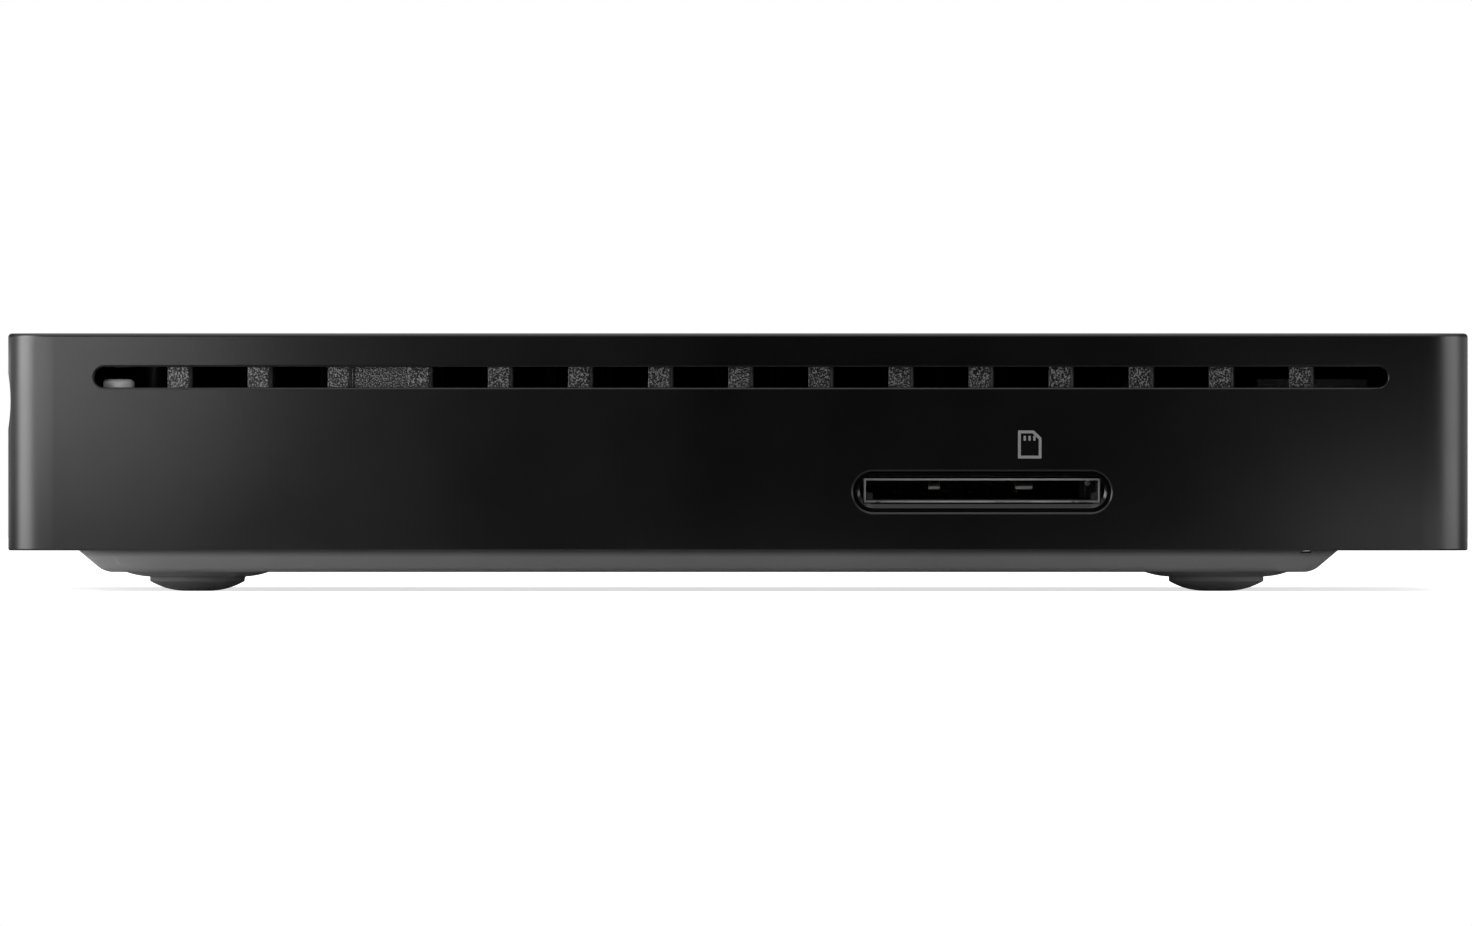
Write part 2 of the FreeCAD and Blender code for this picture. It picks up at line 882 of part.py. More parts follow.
def card_slot_bezel():
    """The flared ring that lines the card slot, with a flange behind the wall and a web round the mouth."""
    front_y = card_y + bezel_recess
    throat_y = front_y + bezel_flare_depth
    back_y = inside_card_y + bezel_flange_thickness
    length = card_slot_length - 2 * bezel_gap
    height = card_slot_height - 2 * bezel_gap
    ring = prism(stadium(Vector(slot_x, front_y, slot_z), length, height, X, Y), Y * (back_y - front_y))
    border = 2 * bezel_flange_border
    flange = prism(
        stadium(Vector(slot_x, inside_card_y, slot_z), length + border, height + border, X, Y),
        Y * bezel_flange_thickness)
    thin = 2 * bezel_lip_wall
    web_y = back_y - bezel_web_thickness
    gap = bezel_mouth_gap
    throat_length = length - thin - 2 * bezel_flare_width
    throat_height = mouth_height + 2 * (gap + bezel_mouth_border)
    lip = stadium(Vector(slot_x, front_y, slot_z), length - thin, height - thin, X, Y)
    throat = stadium(Vector(slot_x, throat_y, mouth_z), throat_length, throat_height, X, Y)
    left, right = mouth_left_x - gap, mouth_right_x + gap
    window = block(left, right, web_y, back_y, mouth_low_z - gap, shell_top_z + gap)
    return carve(join([ring, flange]), [taper(lip, throat), prism(throat, Y * (web_y - throat_y)), window])


def rear_panel():
    """The panel that fills the rear opening, with a hole for each socket."""
    edge = panel_half - fit_gap
    plate = block(inside_rear_x, panel_face_x, -edge, edge, flange_top_z, panel_top_z - fit_gap)
    lip = panel_half + panel_flange
    lip_top = min(panel_top_z + panel_flange, ceiling_z - fit_gap)
    flange = block(panel_back_x, inside_rear_x, -lip, lip, flange_top_z, lip_top)
    pad_room = base_head_radius + fit_gap + screw_pad_wall + fit_gap
    cutters = [post(pad_room, x, y, low_z, screw_pad_z(low_z) + fit_gap) for x, y, low_z in screw_places()]
    return carve(join([plate, flange]), port_cutters() + cutters)


def port_list():
    """Every rear socket as (name, kind, width)."""
    ports = [("dc_inlet", "inlet", inlet_width), ("lan_jack", "lan", lan_width)]
    ports.append(("usb_socket", "usb", usb_width))
    for number in range(video_count):
        ports.append((f"video_socket_{number + 1}", "video", video_width))
    for number in range(jack_count):
        ports.append((f"round_jack_{number + 1}", "jack", jack_width))
    return ports


def port_places():
    """The middle of each rear socket along Y, spread with even gaps: name to (kind, y)."""
    ports = port_list()
    gap = (2 * panel_half - sum(width for name, kind, width in ports)) / (len(ports) + 1)
    places = {}
    y = -panel_half
    for name, kind, width in ports:
        y += gap + width / 2
        places[name] = (kind, y)
        y += width / 2
    return places


def port_cutters():
    """The holes in the rear panel."""
    start = panel_back_x - port_gap
    along = X * (panel_face_x + port_gap - start)
    round_ports = {
        "inlet": (inlet_nose_radius, inlet_bore_height),
        "jack": (jack_nose_radius, jack_height / 2),
    }
    square_ports = {"lan": (lan_width, lan_height), "usb": (usb_width, usb_height)}
    cutters = []
    for kind, y in port_places().values():
        if kind in round_ports:
            radius, height = round_ports[kind]
            middle = Vector(start, y, board_z + height)
            cutters.append(rod(radius + port_gap, middle, middle + along))
        if kind in square_ports:
            width, height = square_ports[kind]
            half = width / 2 + port_gap
            low = board_z - port_gap
            high = board_z + height + port_gap
            cutters.append(block(start, start + along.x, y - half, y + half, low, high))
        if kind == "video":
            cutters.append(prism(video_outline(start, y, -port_gap), along))
    return cutters


def main_board():
    """The main circuit board with its notches and holes."""
    board = block(board_front_x, board_rear_x, board_card_y, board_far_y, board_low_z, board_z)
    notch_x = rear_x - rear_post_inset_x - cover_post_radius - board_notch_gap
    notch_y = body_width / 2 - rear_post_inset_y - cover_post_radius - board_notch_gap
    notch = block(notch_x, board_rear_x, notch_y, board_far_y, board_low_z, board_z)
    cutters = both_sides(notch)
    for x, y in board_screw_places():
        cutters.append(post(small_shank_radius + fit_gap, x, y, board_low_z, board_z))
    for x, y in sink_screw_places():
        cutters.append(post(sink_post_radius + board_hole_gap, x, y, board_low_z, board_z))
    return carve(board, cutters)


def processor():
    """The main chip with its raised metal lid."""
    lid_size = processor_size - 2 * processor_lid_inset
    shoulder = processor_top_z - processor_lid_height
    return join([
        slab(processor_x, processor_y, processor_size, processor_size, board_z, shoulder),
        slab(processor_x, processor_y, lid_size, lid_size, shoulder, processor_top_z),
    ])


def thermal_pad():
    """The soft pad between the chip's lid and the heat sink."""
    size = thermal_pad_size
    return slab(processor_x, processor_y, size, size, processor_top_z, pad_top_z)


def chip(x, y, length, width, height):
    """A flat chip on the main board."""
    return slab(x, y, length, width, board_z, board_z + height)


def memory_chips():
    """The row of memory chips beside the processor."""
    x = processor_x + memory_offset
    places = spread(processor_y, memory_count, memory_pitch)
    return [chip(x, y, memory_width, memory_length, memory_height) for y in places]


def storage_chip():
    """The storage chip in front of the processor."""
    return chip(processor_x, processor_y - storage_offset, storage_width, storage_length, storage_height)


def power_inductors():
    """The inductors beside the power inlet."""
    x = rear_x - power_row_inset - inductor_size / 2
    return [
        chip(x, power_row_y + number * inductor_pitch, inductor_size, inductor_size, inductor_height)
        for number in range(inductor_count)
    ]


def capacitors():
    """Can capacitors, each on a square base."""
    x = rear_x - power_row_inset - inductor_size / 2
    cans = []
    for number in range(capacitor_count):
        y = capacitor_row_y + number * capacitor_pitch
        base = chip(x, y, 2 * capacitor_radius, 2 * capacitor_radius, capacitor_base_height)
        can = post(capacitor_radius, x, y, board_z, board_z + capacitor_height)
        cans.append(join([base, can]))
    return cans


def coin_cell_holder():
    """The round cup that holds the button cell."""
    outer = cell_radius + holder_gap + holder_wall
    cup = post(outer, cell_x, cell_y, board_z, board_z + holder_height)
    low = board_z + holder_floor
    return carve(cup, [post(cell_radius + holder_gap, cell_x, cell_y, low, low + cell_height)])


def coin_cell():
    """The button cell."""
    low = board_z + holder_floor
    return post(cell_radius, cell_x, cell_y, low, low + cell_height)


def wireless_module():
    """The wireless module's own small board."""
    return chip(radio_x, radio_y, radio_length, radio_width, radio_board_height)


def shield_can():
    """The sheet-metal box over the wireless module."""
    length = radio_length - 2 * shield_inset
    width = radio_width - 2 * shield_inset
    low = board_z + radio_board_height
    top = low + shield_height
    t = sheet_thickness
    can = slab(radio_x, radio_y, length, width, low, top)
    return carve(can, [slab(radio_x, radio_y, length - 2 * t, width - 2 * t, low, top - t)])


def heat_sink():
    """The aluminium plate over the board, with ears, a contact block and fins."""
    front = front_x + sink_front_inset
    rear = rear_x - sink_rear_inset
    side = body_width / 2 - sink_side_inset
    plate = block(front, rear, -side, side, sink_low_z, sink_top_z)
    ear_x = front_x + sink_ear_end_inset
    ear = block(ear_x, front, side - sink_ear_width, side, sink_low_z, sink_top_z)
    size = sink_block_size
    contact = slab(processor_x, processor_y, size, size, pad_top_z, sink_low_z)
    pieces = [plate, contact] + both_sides(ear)
    fin_y = body_width / 2 - fin_side_inset
    count = int((rear - front - 2 * fin_field_inset) / fin_pitch) + 1
    for fin_x in spread((front + rear) / 2, count, fin_pitch):
        pieces.append(slab(fin_x, 0, fin_thickness, 2 * fin_y, sink_top_z, sink_top_z + fin_height))
    holes = []
    for x, y in sink_screw_places():
        holes.append(post(small_shank_radius + sink_hole_gap, x, y, sink_low_z, sink_top_z))
        holes.append(post(small_head_radius + 2 * sink_hole_gap, x, y, sink_top_z, sink_top_z + fin_height))
    return carve(join(pieces), holes)


def small_screw(place, outward, length):
    """A small pan-head screw with a shank of this length."""
    return pan_screw(place, outward, small_head_radius, small_head_height, small_shank_radius, length)


def small_screws(places, z):
    """Small pan-head screws that stand upright, with their heads' seats at height z."""
    return [small_screw(Vector(x, y, z), Z, small_shank_length) for x, y in places]


def base_screws():
    """The screws that hold the base plate to the cover's posts."""
    return [
        pan_screw(
            Vector(x, y, screw_seat_z(low_z)), -Z, base_head_radius, base_head_height,
            base_shank_radius, base_shank_length)
        for x, y, low_z in screw_places()
    ]


def card_connector_base():
    """The connector's plastic part: floor, guide rails, back wall and the slider's bay."""
    left = mouth_left_x + shell_sheet
    right = connector_right_x - shell_sheet
    inner_right = mouth_right_x - shell_sheet
    back = connector_back_y
    wall_y = back - connector_back_wall
    rail_y = mouth_y + guide_front_gap
    rail_low = mouth_low_z + shell_sheet
    rail_top = card_floor_z + guide_rail
    bay_left = slider_left_x() - hook_reach - slider_gap
    bay_front = slider_y() - slider_gap
    bay_back = slider_y() + slider_length + slider_travel + slider_gap
    pieces = [
        block(left, right, mouth_y + mouth_depth + shell_sheet, back, board_z, card_floor_z),
        block(left, right, wall_y, back, board_z, shell_under_z),
        block(left, left + guide_rail, rail_y, back, rail_low, rail_top),
        block(inner_right - guide_rail, inner_right, rail_y, back, rail_low, rail_top),
        block(bay_left - guide_rail, bay_left, wall_y - card_stop_length, back, board_z, rail_top),
    ]
    bay = block(bay_left, right, bay_front, bay_back, card_floor_z, shell_under_z)
    body = carve(join(pieces), [bay])
    return carve(body, card_contacts() + [cam_pin()])


def card_connector_shell():
    """The connector's folded metal cover with the rectangular mouth."""
    t = shell_sheet
    collar_end = mouth_y + mouth_depth
    collar = block(mouth_left_x, mouth_right_x, mouth_y, collar_end, mouth_low_z, shell_top_z)
    inside = block(mouth_left_x + t, mouth_right_x - t, mouth_y, collar_end, mouth_low_z + t, shell_under_z)
    openings = [inside]
    for place, length in lip_breaks:
        x = mouth_left_x + place
        lip = block(x, x + length, mouth_y, mouth_y + lip_break_depth, mouth_low_z, mouth_low_z + t)
        openings.append(lip)
    collar = carve(collar, openings)
    lid = block(mouth_left_x, connector_right_x, collar_end, connector_back_y, shell_under_z, shell_top_z)
    left_side = block(mouth_left_x, mouth_left_x + t, collar_end, connector_back_y, board_z, shell_top_z)
    right_side = left_side.translated(X * (connector_right_x - t - mouth_left_x))
    cheek = block(mouth_right_x - t, connector_right_x, collar_end, collar_end + t, board_z, shell_top_z)
    leaves = []
    windows = []
    for place, width in ((leaf_place, leaf_width), (wide_leaf_place, wide_leaf_width)):
        x = mouth_left_x + place
        start = mouth_y + leaf_start
        windows.append(block(x - t, x + width + t, start, start + leaf_length, shell_under_z, shell_top_z))
        end = start + leaf_length
        low = shell_under_z - leaf_drop
        path = [(start, low + t), (start + t, low), (end, shell_under_z), (end + 2 * t, shell_under_z)]
        leaves.append(bent_strip(path, t, x, x + width))
    body = carve(join([lid, left_side, right_side, cheek]), windows)
    return join([collar, body] + leaves)


def contact_places():
    """The left edge of each contact, a last one set closer."""
    first = mouth_left_x + contact_start - contact_width / 2
    places = [first + number * contact_pitch for number in range(contact_count)]
    return places + [first - contact_last_pitch]


def card_contacts():
    """The contact springs, fixed in the back wall and bent down towards the card."""
    high = shell_under_z - contact_high
    low = shell_under_z - contact_low
    back = connector_back_y
    wall_y = back - connector_back_wall
    tip_y = wall_y - contact_reach
    path = [
        (tip_y, low + contact_tip_rise),
        (tip_y + contact_tip_length, low),
        (wall_y, high),
        (back, high),
    ]
    return [bent_strip(path, contact_thickness, x, x + contact_width) for x in contact_places()]


def slider_left_x():
    """The left side of the slider's bar, just clear of the card."""
    return slot_x + card_width / 2 + slider_gap


def slider_y():
    """The front end of the slider at rest."""
    return mouth_y + slider_start


def slider_levels():
    """The slider's lower and upper faces."""
    return card_floor_z + slider_gap, shell_under_z - slider_gap


def wire_x():
    """The wire pin's place across the slider."""
    return slider_left_x() + wire_inset


def spring_axis():
    """The spring's place across the slider, and its height."""
    low, high = slider_levels()
    groove_right = wire_x() + wire_radius + wire_groove_gap
    right = connector_right_x - shell_sheet - slider_gap
    return (groove_right + right) / 2, (low + high) / 2


def card_slider():
    """The slider that the card pushes in, with its hook, wire groove and spring spigot."""
    left = slider_left_x()
    right = connector_right_x - shell_sheet - slider_gap
    front = slider_y()
    back = front + slider_length
    low, high = slider_levels()
    bar = block(left, right, front, back, low, high)
    hook = block(left - hook_reach, left, back - hook_length, back, low, high)
    x, z = spring_axis()
    spigot = rod(spigot_radius, Vector(x, back, z), Vector(x, back + spigot_length, z))
    half = wire_radius + wire_groove_gap
    cutters = [block(wire_x() - half, wire_x() + half, front, back, high - wire_tip_drop - 2 * half, high)]
    for number in range(hook_groove_count):
        x0 = left - hook_reach + (2 * number + 1) * hook_groove_width
        y0 = back - hook_length
        cutters.append(block(x0, x0 + hook_groove_width, y0, y0 + hook_groove_depth, low, high))
    return carve(join([bar, hook, spigot]), cutters)


def arc_between(start, control, end):
    """The arc that leaves start towards control and reaches end from control."""
    weight = (end - start).Length / 2 / (control - start).Length
    middle = (start + end + control * (2 * weight)) * (1 / (2 * (1 + weight)))
    return Part.Arc(start, middle, end).toShape()


def coil_path(radius, turns, length):
    """Smoothly joined arcs, two for each half turn of a coil along Z."""
    def point(angle):
        rise = length * angle / (2 * math.pi * turns)
        return Vector(radius * math.cos(angle), radius * math.sin(angle), rise)

    def heading(angle):
        rise = length / (2 * math.pi * turns)
        return Vector(-radius * math.sin(angle), radius * math.cos(angle), rise).normalize()

    edges = []
    for number in range(2 * turns):
        start, end = point(number * math.pi), point((number + 1) * math.pi)
        leaving, arriving = heading(number * math.pi), heading((number + 1) * math.pi)
        chord = end - start
        both = chord.dot(leaving + arriving)
        spread = 2 * (1 - leaving.dot(arriving))
        reach = (math.sqrt(both * both + spread * chord.dot(chord)) - both) / spread
        first = start + leaving * reach
        last = end - arriving * reach
        joint = (first + last) / 2
        edges.append(arc_between(start, first, joint))
        edges.append(arc_between(joint, last, end))
    return Part.Wire(edges), point(0), heading(0)


def slider_spring():
    """The coil spring between the slider and the connector's back wall."""
    x, z = spring_axis()
    start = slider_y() + slider_length + spring_wire_radius
    end = connector_back_y - connector_back_wall - spring_wire_radius
    path, first, heading = coil_path(spring_radius, spring_turns, end - start)
    section = Part.Wire(Part.makeCircle(spring_wire_radius, first, heading))
    spring = path.makePipeShell([section], True, False)
    return aimed(spring, Vector(x, start, z), Y)


def cam_pin():
    """The wire that runs from the back wall along the slider's groove, with a bent tip."""
    high = shell_under_z - slider_gap - wire_radius
    start = Vector(wire_x(), connector_back_y - connector_back_wall / 2, high)
    corner = Vector(wire_x(), slider_y() + wire_inset, high)
    bend_start = corner + Y * wire_bend
    bend_end = corner - Z * wire_bend
    bend = Part.Arc(bend_start, corner + (Y - Z) * (wire_bend * (1 - math.cos(math.pi / 4))), bend_end)
    path = Part.Wire([
        Part.makeLine(start, bend_start),
        bend.toShape(),
        Part.makeLine(bend_end, corner - Z * wire_tip_drop),
    ])
    section = Part.Wire(Part.makeCircle(wire_radius, start, Y))
    return path.makePipeShell([section], True, False)


def port_y(name):
    """The middle of one rear socket along Y."""
    return port_places()[name][1]


def spread(middle, count, pitch):
    """Evenly pitched places about a middle."""
    return [middle + (number - (count - 1) / 2) * pitch for number in range(count)]


def inlet_middle():
    """A point on the power inlet's axis, in the plane of its face."""
    return Vector(port_x, port_y("dc_inlet"), board_z + inlet_bore_height)


def dc_inlet_body():
    """The power inlet's moulded body with a round nose and bore."""
    middle = inlet_middle()
    half = inlet_width / 2
    shoulder = port_x - inlet_nose_length
    back = port_x - inlet_depth
    case = block(back, shoulder, middle.y - half, middle.y + half, board_z, board_z + inlet_height)
    nose = rod(inlet_nose_radius, middle - X * inlet_nose_length, middle)
    bore = rod(inlet_bore_radius, middle - X * inlet_bore_depth, middle)
    pin_hole = rod(inlet_pin_radius, Vector(back, middle.y, middle.z), middle)
    return carve(join([case, nose]), [bore, pin_hole])


def dc_inlet_pin():
    """The inlet's centre pin, held in the body's back wall."""
    middle = inlet_middle()
    back = Vector(port_x - inlet_depth, middle.y, middle.z)
    tip = middle - X * inlet_pin_setback
    pin = rod(inlet_pin_radius, back, tip)
    rounded = [e for e in pin.Edges if abs(e.BoundBox.XMin - tip.x) < near]
    return pin.makeFillet(inlet_pin_radius / 2, rounded)


def lan_jack_lights():
    """The two light windows in the network socket's upper corners."""
    t = sheet_thickness
    top = board_z + lan_height - 2 * t
    low = top - lan_light_height
    middle = port_y("lan_jack")
    reach = lan_width / 2 - 2 * t
    lights = []
    for y0 in (middle - reach, middle + reach - lan_light_width):
        lights.append(block(port_x - lan_mouth_depth, port_x, y0, y0 + lan_light_width, low, top))
    return lights


def lan_jack_body():
    """The network socket's plastic insert with its plug opening."""
    t = sheet_thickness
    middle = port_y("lan_jack")
    half = lan_width / 2 - t
    top = board_z + lan_height - t
    body = block(port_x - lan_depth + t, port_x, middle - half, middle + half, board_z, top)
    floor = board_z + lan_mouth_floor
    mouth_x = port_x - lan_mouth_depth / 2
    mouth = slab(mouth_x, middle, lan_mouth_depth, lan_mouth_width, floor, floor + lan_mouth_height)
    latch = slab(mouth_x, middle, lan_mouth_depth, lan_latch_width, floor - lan_latch_height, floor)
    return carve(body, [mouth, latch] + lan_jack_lights() + lan_jack_contacts())


def lan_jack_shell():
    """The network socket's sheet-metal cover, open at the front and below."""
    t = sheet_thickness
    x = port_x - lan_depth / 2
    y = port_y("lan_jack")
    top = board_z + lan_height
    outer = slab(x, y, lan_depth, lan_width, board_z, top)
    return carve(outer, [slab(x + t / 2, y, lan_depth - t, lan_width - 2 * t, board_z, top - t)])


def lan_jack_contacts():
    """The eight spring wires at the top of the plug opening."""
    ceiling = board_z + lan_mouth_floor + lan_mouth_height
    low = ceiling - lan_contact_rise
    half = plated_strip
    start = port_x - lan_contact_setback
    end = port_x - lan_mouth_depth + lan_contact_setback
    contacts = []
    for y in spread(port_y("lan_jack"), lan_contact_count, lan_contact_pitch):
        outline = polygon([
            Vector(start, y - lan_contact_width / 2, ceiling + half),
            Vector(start, y - lan_contact_width / 2, ceiling - half),
            Vector(end, y - lan_contact_width / 2, low - half),
            Vector(end, y - lan_contact_width / 2, low + half),
            Vector(start - lan_contact_root, y - lan_contact_width / 2, ceiling + half),
        ])
        contacts.append(prism(outline, Y * lan_contact_width))
    return contacts


def usb_room():
    """The space inside the USB socket's shell."""
    t = usb_sheet
    width = usb_width - 2 * t
    top = board_z + usb_height - t
    return slab(port_x - usb_depth / 2, port_y("usb_socket"), usb_depth, width, board_z + t, top)


def usb_shell():
    """The USB socket's sheet-metal tube."""
    top = board_z + usb_height
    tube = slab(port_x - usb_depth / 2, port_y("usb_socket"), usb_depth, usb_width, board_z, top)
    return carve(tube, [usb_room()])


def usb_tongue_z():
    """The underside of the USB tongue."""
    return board_z + usb_height - usb_sheet - usb_tongue_drop - usb_tongue_height


def usb_body():
    """The USB socket's back block and tongue."""
    start = port_x - usb_depth
    y = port_y("usb_socket")
    back = slab(start, y, 2 * socket_back_wall, usb_width, board_z, board_z + usb_height).common(usb_room())
    length = socket_back_wall + usb_tongue_length
    low = usb_tongue_z()
    top = low + usb_tongue_height
    return join([back, slab(start + length / 2, y, length, usb_tongue_width, low, top)])


def usb_contacts():
    """The four contact strips under the USB tongue."""
    start = port_x - usb_depth + socket_back_wall
    length = usb_tongue_length - usb_contact_width
    top = usb_tongue_z()
    places = spread(port_y("usb_socket"), usb_contact_count, usb_contact_pitch)
    return [slab(start + length / 2, y, length, usb_contact_width, top - plated_strip, top) for y in places]


def video_outline(x, y, inset):
    """The video socket's outline, drawn in evenly by inset, with its lower corners slanted."""
    fall = video_height - video_side_height
    tilt = math.atan2(fall, video_slant)
    half = video_width / 2 - inset
    low = board_z + inset
    top = board_z + video_height - inset
    shoulder = board_z + fall + inset * math.tan((math.pi / 2 - tilt) / 2)
    foot_half = video_width / 2 - video_slant - inset * math.tan(tilt / 2)
    return polygon([
        Vector(x, y - half, top),
        Vector(x, y + half, top),
        Vector(x, y + half, shoulder),
        Vector(x, y + foot_half, low),
        Vector(x, y - foot_half, low),
        Vector(x, y - half, shoulder),
    ])


def video_socket_shell(y):
    """A video socket's sheet-metal tube."""
    start = port_x - video_depth
    tube = prism(video_outline(start, y, 0), X * video_depth)
    return carve(tube, [prism(video_outline(start, y, video_sheet), X * video_depth)])


def video_tongue_levels():
    """A video tongue's lower and upper faces."""
    middle = board_z + video_height / 2 + video_sheet / 2
    return middle - video_tongue_height / 2, middle + video_tongue_height / 2


def video_socket_body(y):
    """A video socket's back block and tongue."""
    start = port_x - video_depth
    back = prism(video_outline(start, y, video_sheet), X * socket_back_wall)
    low, top = video_tongue_levels()
    half = video_tongue_width / 2
    end = start + socket_back_wall + video_tongue_length
    return join([back, block(start, end, y - half, y + half, low, top)])


def video_contacts():
    """The contact strips above and below both video tongues."""
    low, top = video_tongue_levels()
    start = port_x - video_depth + socket_back_wall
    end = start + video_tongue_length - video_contact_width
    strips = []
    for kind, middle in port_places().values():
        if kind != "video":
            continue
        for y in spread(middle, video_contact_count, video_contact_pitch):
            upper = slab((start + end) / 2, y, end - start, video_contact_width, top, top + plated_strip)
            strips.append(upper)
            strips.append(upper.translated(Z * (low - plated_strip - top)))
    return strips


def round_jack(y):
    """A 3.5 mm socket with its round nose and bore."""
    middle = Vector(port_x, y, board_z + jack_height / 2)
    half = jack_width / 2
    shoulder = port_x - jack_nose_length
    case = block(port_x - jack_depth, shoulder, y - half, y + half, board_z, board_z + jack_height)
    nose = rod(min(jack_nose_radius, jack_height / 2), middle - X * jack_nose_length, middle)
    return carve(join([case, nose]), [rod(jack_bore_radius, middle - X * jack_bore_depth, middle)])


def ir_window():
    """The dark window in the front hollow, flush with it, with a flange behind the wall."""
    gap = 2 * window_gap
    start = Vector(front_x, 0, hollow_z)
    lens = prism(stadium(start, window_length - gap, window_height - gap, Y, X), X * wall)
    lens = lens.common(outside_form())
    border = 2 * window_flange
    start = Vector(inside_front_x, 0, hollow_z)
    flange = prism(
        stadium(start, window_length + border, window_height + border, Y, X), X * front_flange_thickness)
    return join([lens, flange])


def power_button():
    """The round key in the front hollow, shaped to it, with a flange behind the wall."""
    start = Vector(front_x, button_y, hollow_z)
    form = outside_form()
    form.translate(X * button_face_recess)
    cap = rod(button_radius, start, start + X * wall).common(form)
    seat = Vector(inside_front_x, button_y, hollow_z)
    flange = rod(button_radius + button_flange, seat, seat + X * front_flange_thickness)
    return join([cap, flange])


def switch_face_x():
    """The front face of the switch's body."""
    return front_board_x - switch_height


def switch_body():
    """The push switch's square body with a well for its plunger."""
    half = switch_size / 2
    face = switch_face_x()
    body = block(
        face, front_board_x, button_y - half, button_y + half, hollow_z - half, hollow_z + half)
    start = Vector(face, button_y, hollow_z)
    depth = plunger_tail + button_travel + plunger_spare
    return carve(body, [rod(plunger_radius + plunger_gap, start, start + X * depth)])


def switch_plunger():
    """The switch's round plunger, which rests against the button."""
    start = Vector(inside_front_x + front_flange_thickness, button_y, hollow_z)
    end = Vector(switch_face_x() + plunger_tail, button_y, hollow_z)
    return rod(plunger_radius, start, end)


def front_board():
    """The small board behind the front wall."""
    back = front_board_x + front_board_thickness
    board = block(
        front_board_x, back, front_board_low_y, front_board_high_y, front_board_low_z, front_board_top_z)
    holes = [
        rod(small_shank_radius + fit_gap, Vector(front_board_x, y, z), Vector(back, y, z))
        for y, z in front_boss_places()
    ]
    return carve(board, holes)


def front_board_screws():
    """The screws that hold the front board to the cover's bosses."""
    back = front_board_x + front_board_thickness
    length = front_board_thickness + front_board_gap - fit_gap
    return [small_screw(Vector(back, y, z), X, length) for y, z in front_boss_places()]


def ir_receiver():
    """The infrared receiver behind the window, with a round lens on its face."""
    half_y = receiver_width / 2
    half_z = receiver_height / 2
    face = front_board_x - receiver_depth
    shoulder = face + receiver_depth / 3
    body = block(shoulder, front_board_x, -half_y, half_y, hollow_z - half_z, hollow_z + half_z)
    lens = rod(half_z * 2 / 3, Vector(face, 0, hollow_z), Vector(shoulder, 0, hollow_z))
    return join([body, lens])


def status_light():
    """The status light beside the receiver."""
    half_y = light_width / 2
    half_z = light_height / 2
    return block(
        front_board_x - light_depth, front_board_x, light_y - half_y, light_y + half_y,
        hollow_z - half_z, hollow_z + half_z)


def ribbon_line():
    """The ribbon cable's line: its upper end, the bend's two ends and middle, its far end."""
    x = front_board_x + front_board_thickness + socket_height / 2
    top = front_board_low_z + ribbon_drop
    level = board_z + ribbon_entry_height
    far = board_front_x + socket_front_gap
    bend_top = Vector(x, 0, level + ribbon_bend)
    bend_end = Vector(x + ribbon_bend, 0, level)
    inset = ribbon_bend * (1 - math.cos(math.pi / 4))
    bend_middle = Vector(x + inset, 0, level + inset)
    return Vector(x, 0, top), bend_top, bend_middle, bend_end, Vector(far, 0, level)


def ribbon_cable():
    """The flat cable from the front board to the main board."""
    top, bend_top, bend_middle, bend_end, far = ribbon_line()
    centre = Vector(bend_end.x, 0, bend_top.z)
    half = ribbon_thickness / 2

    def bend(radius):
        diagonal = (bend_middle - centre).normalize() * radius
        return Part.Arc(centre - X * radius, centre + diagonal, centre - Z * radius).toShape()

    inner = bend(ribbon_bend - half)
    outer = bend(ribbon_bend + half)
    inner_start, inner_end = inner.Vertexes[0].Point, inner.Vertexes[-1].Point
    outer_start, outer_end = outer.Vertexes[0].Point, outer.Vertexes[-1].Point
    outline = Part.Wire([
        inner,
        Part.makeLine(inner_end, far + Z * half),
        Part.makeLine(far + Z * half, far - Z * half),
        Part.makeLine(far - Z * half, outer_end),
        outer,
        Part.makeLine(outer_start, top - X * half),
        Part.makeLine(top - X * half, top + X * half),
        Part.makeLine(top + X * half, inner_start),
    ])
    cable = prism(outline, Y * ribbon_width)
    cable.translate(Y * (ribbon_y - ribbon_width / 2))
    return cable


def ribbon_sockets():
    """The two flat connectors that the ribbon cable plugs into."""
    y0 = ribbon_y - socket_width / 2
    y1 = ribbon_y + socket_width / 2
    x = front_board_x + front_board_thickness
    low = front_board_low_z + fit_gap
    upper = block(x, x + socket_height, y0, y1, low, low + socket_length)
    start = board_front_x + socket_front_gap / 2
    lower = block(start, start + socket_length, y0, y1, board_z, board_z + socket_height)
    cable = ribbon_cable()
    return [carve(upper, [cable]), carve(lower, [cable])]


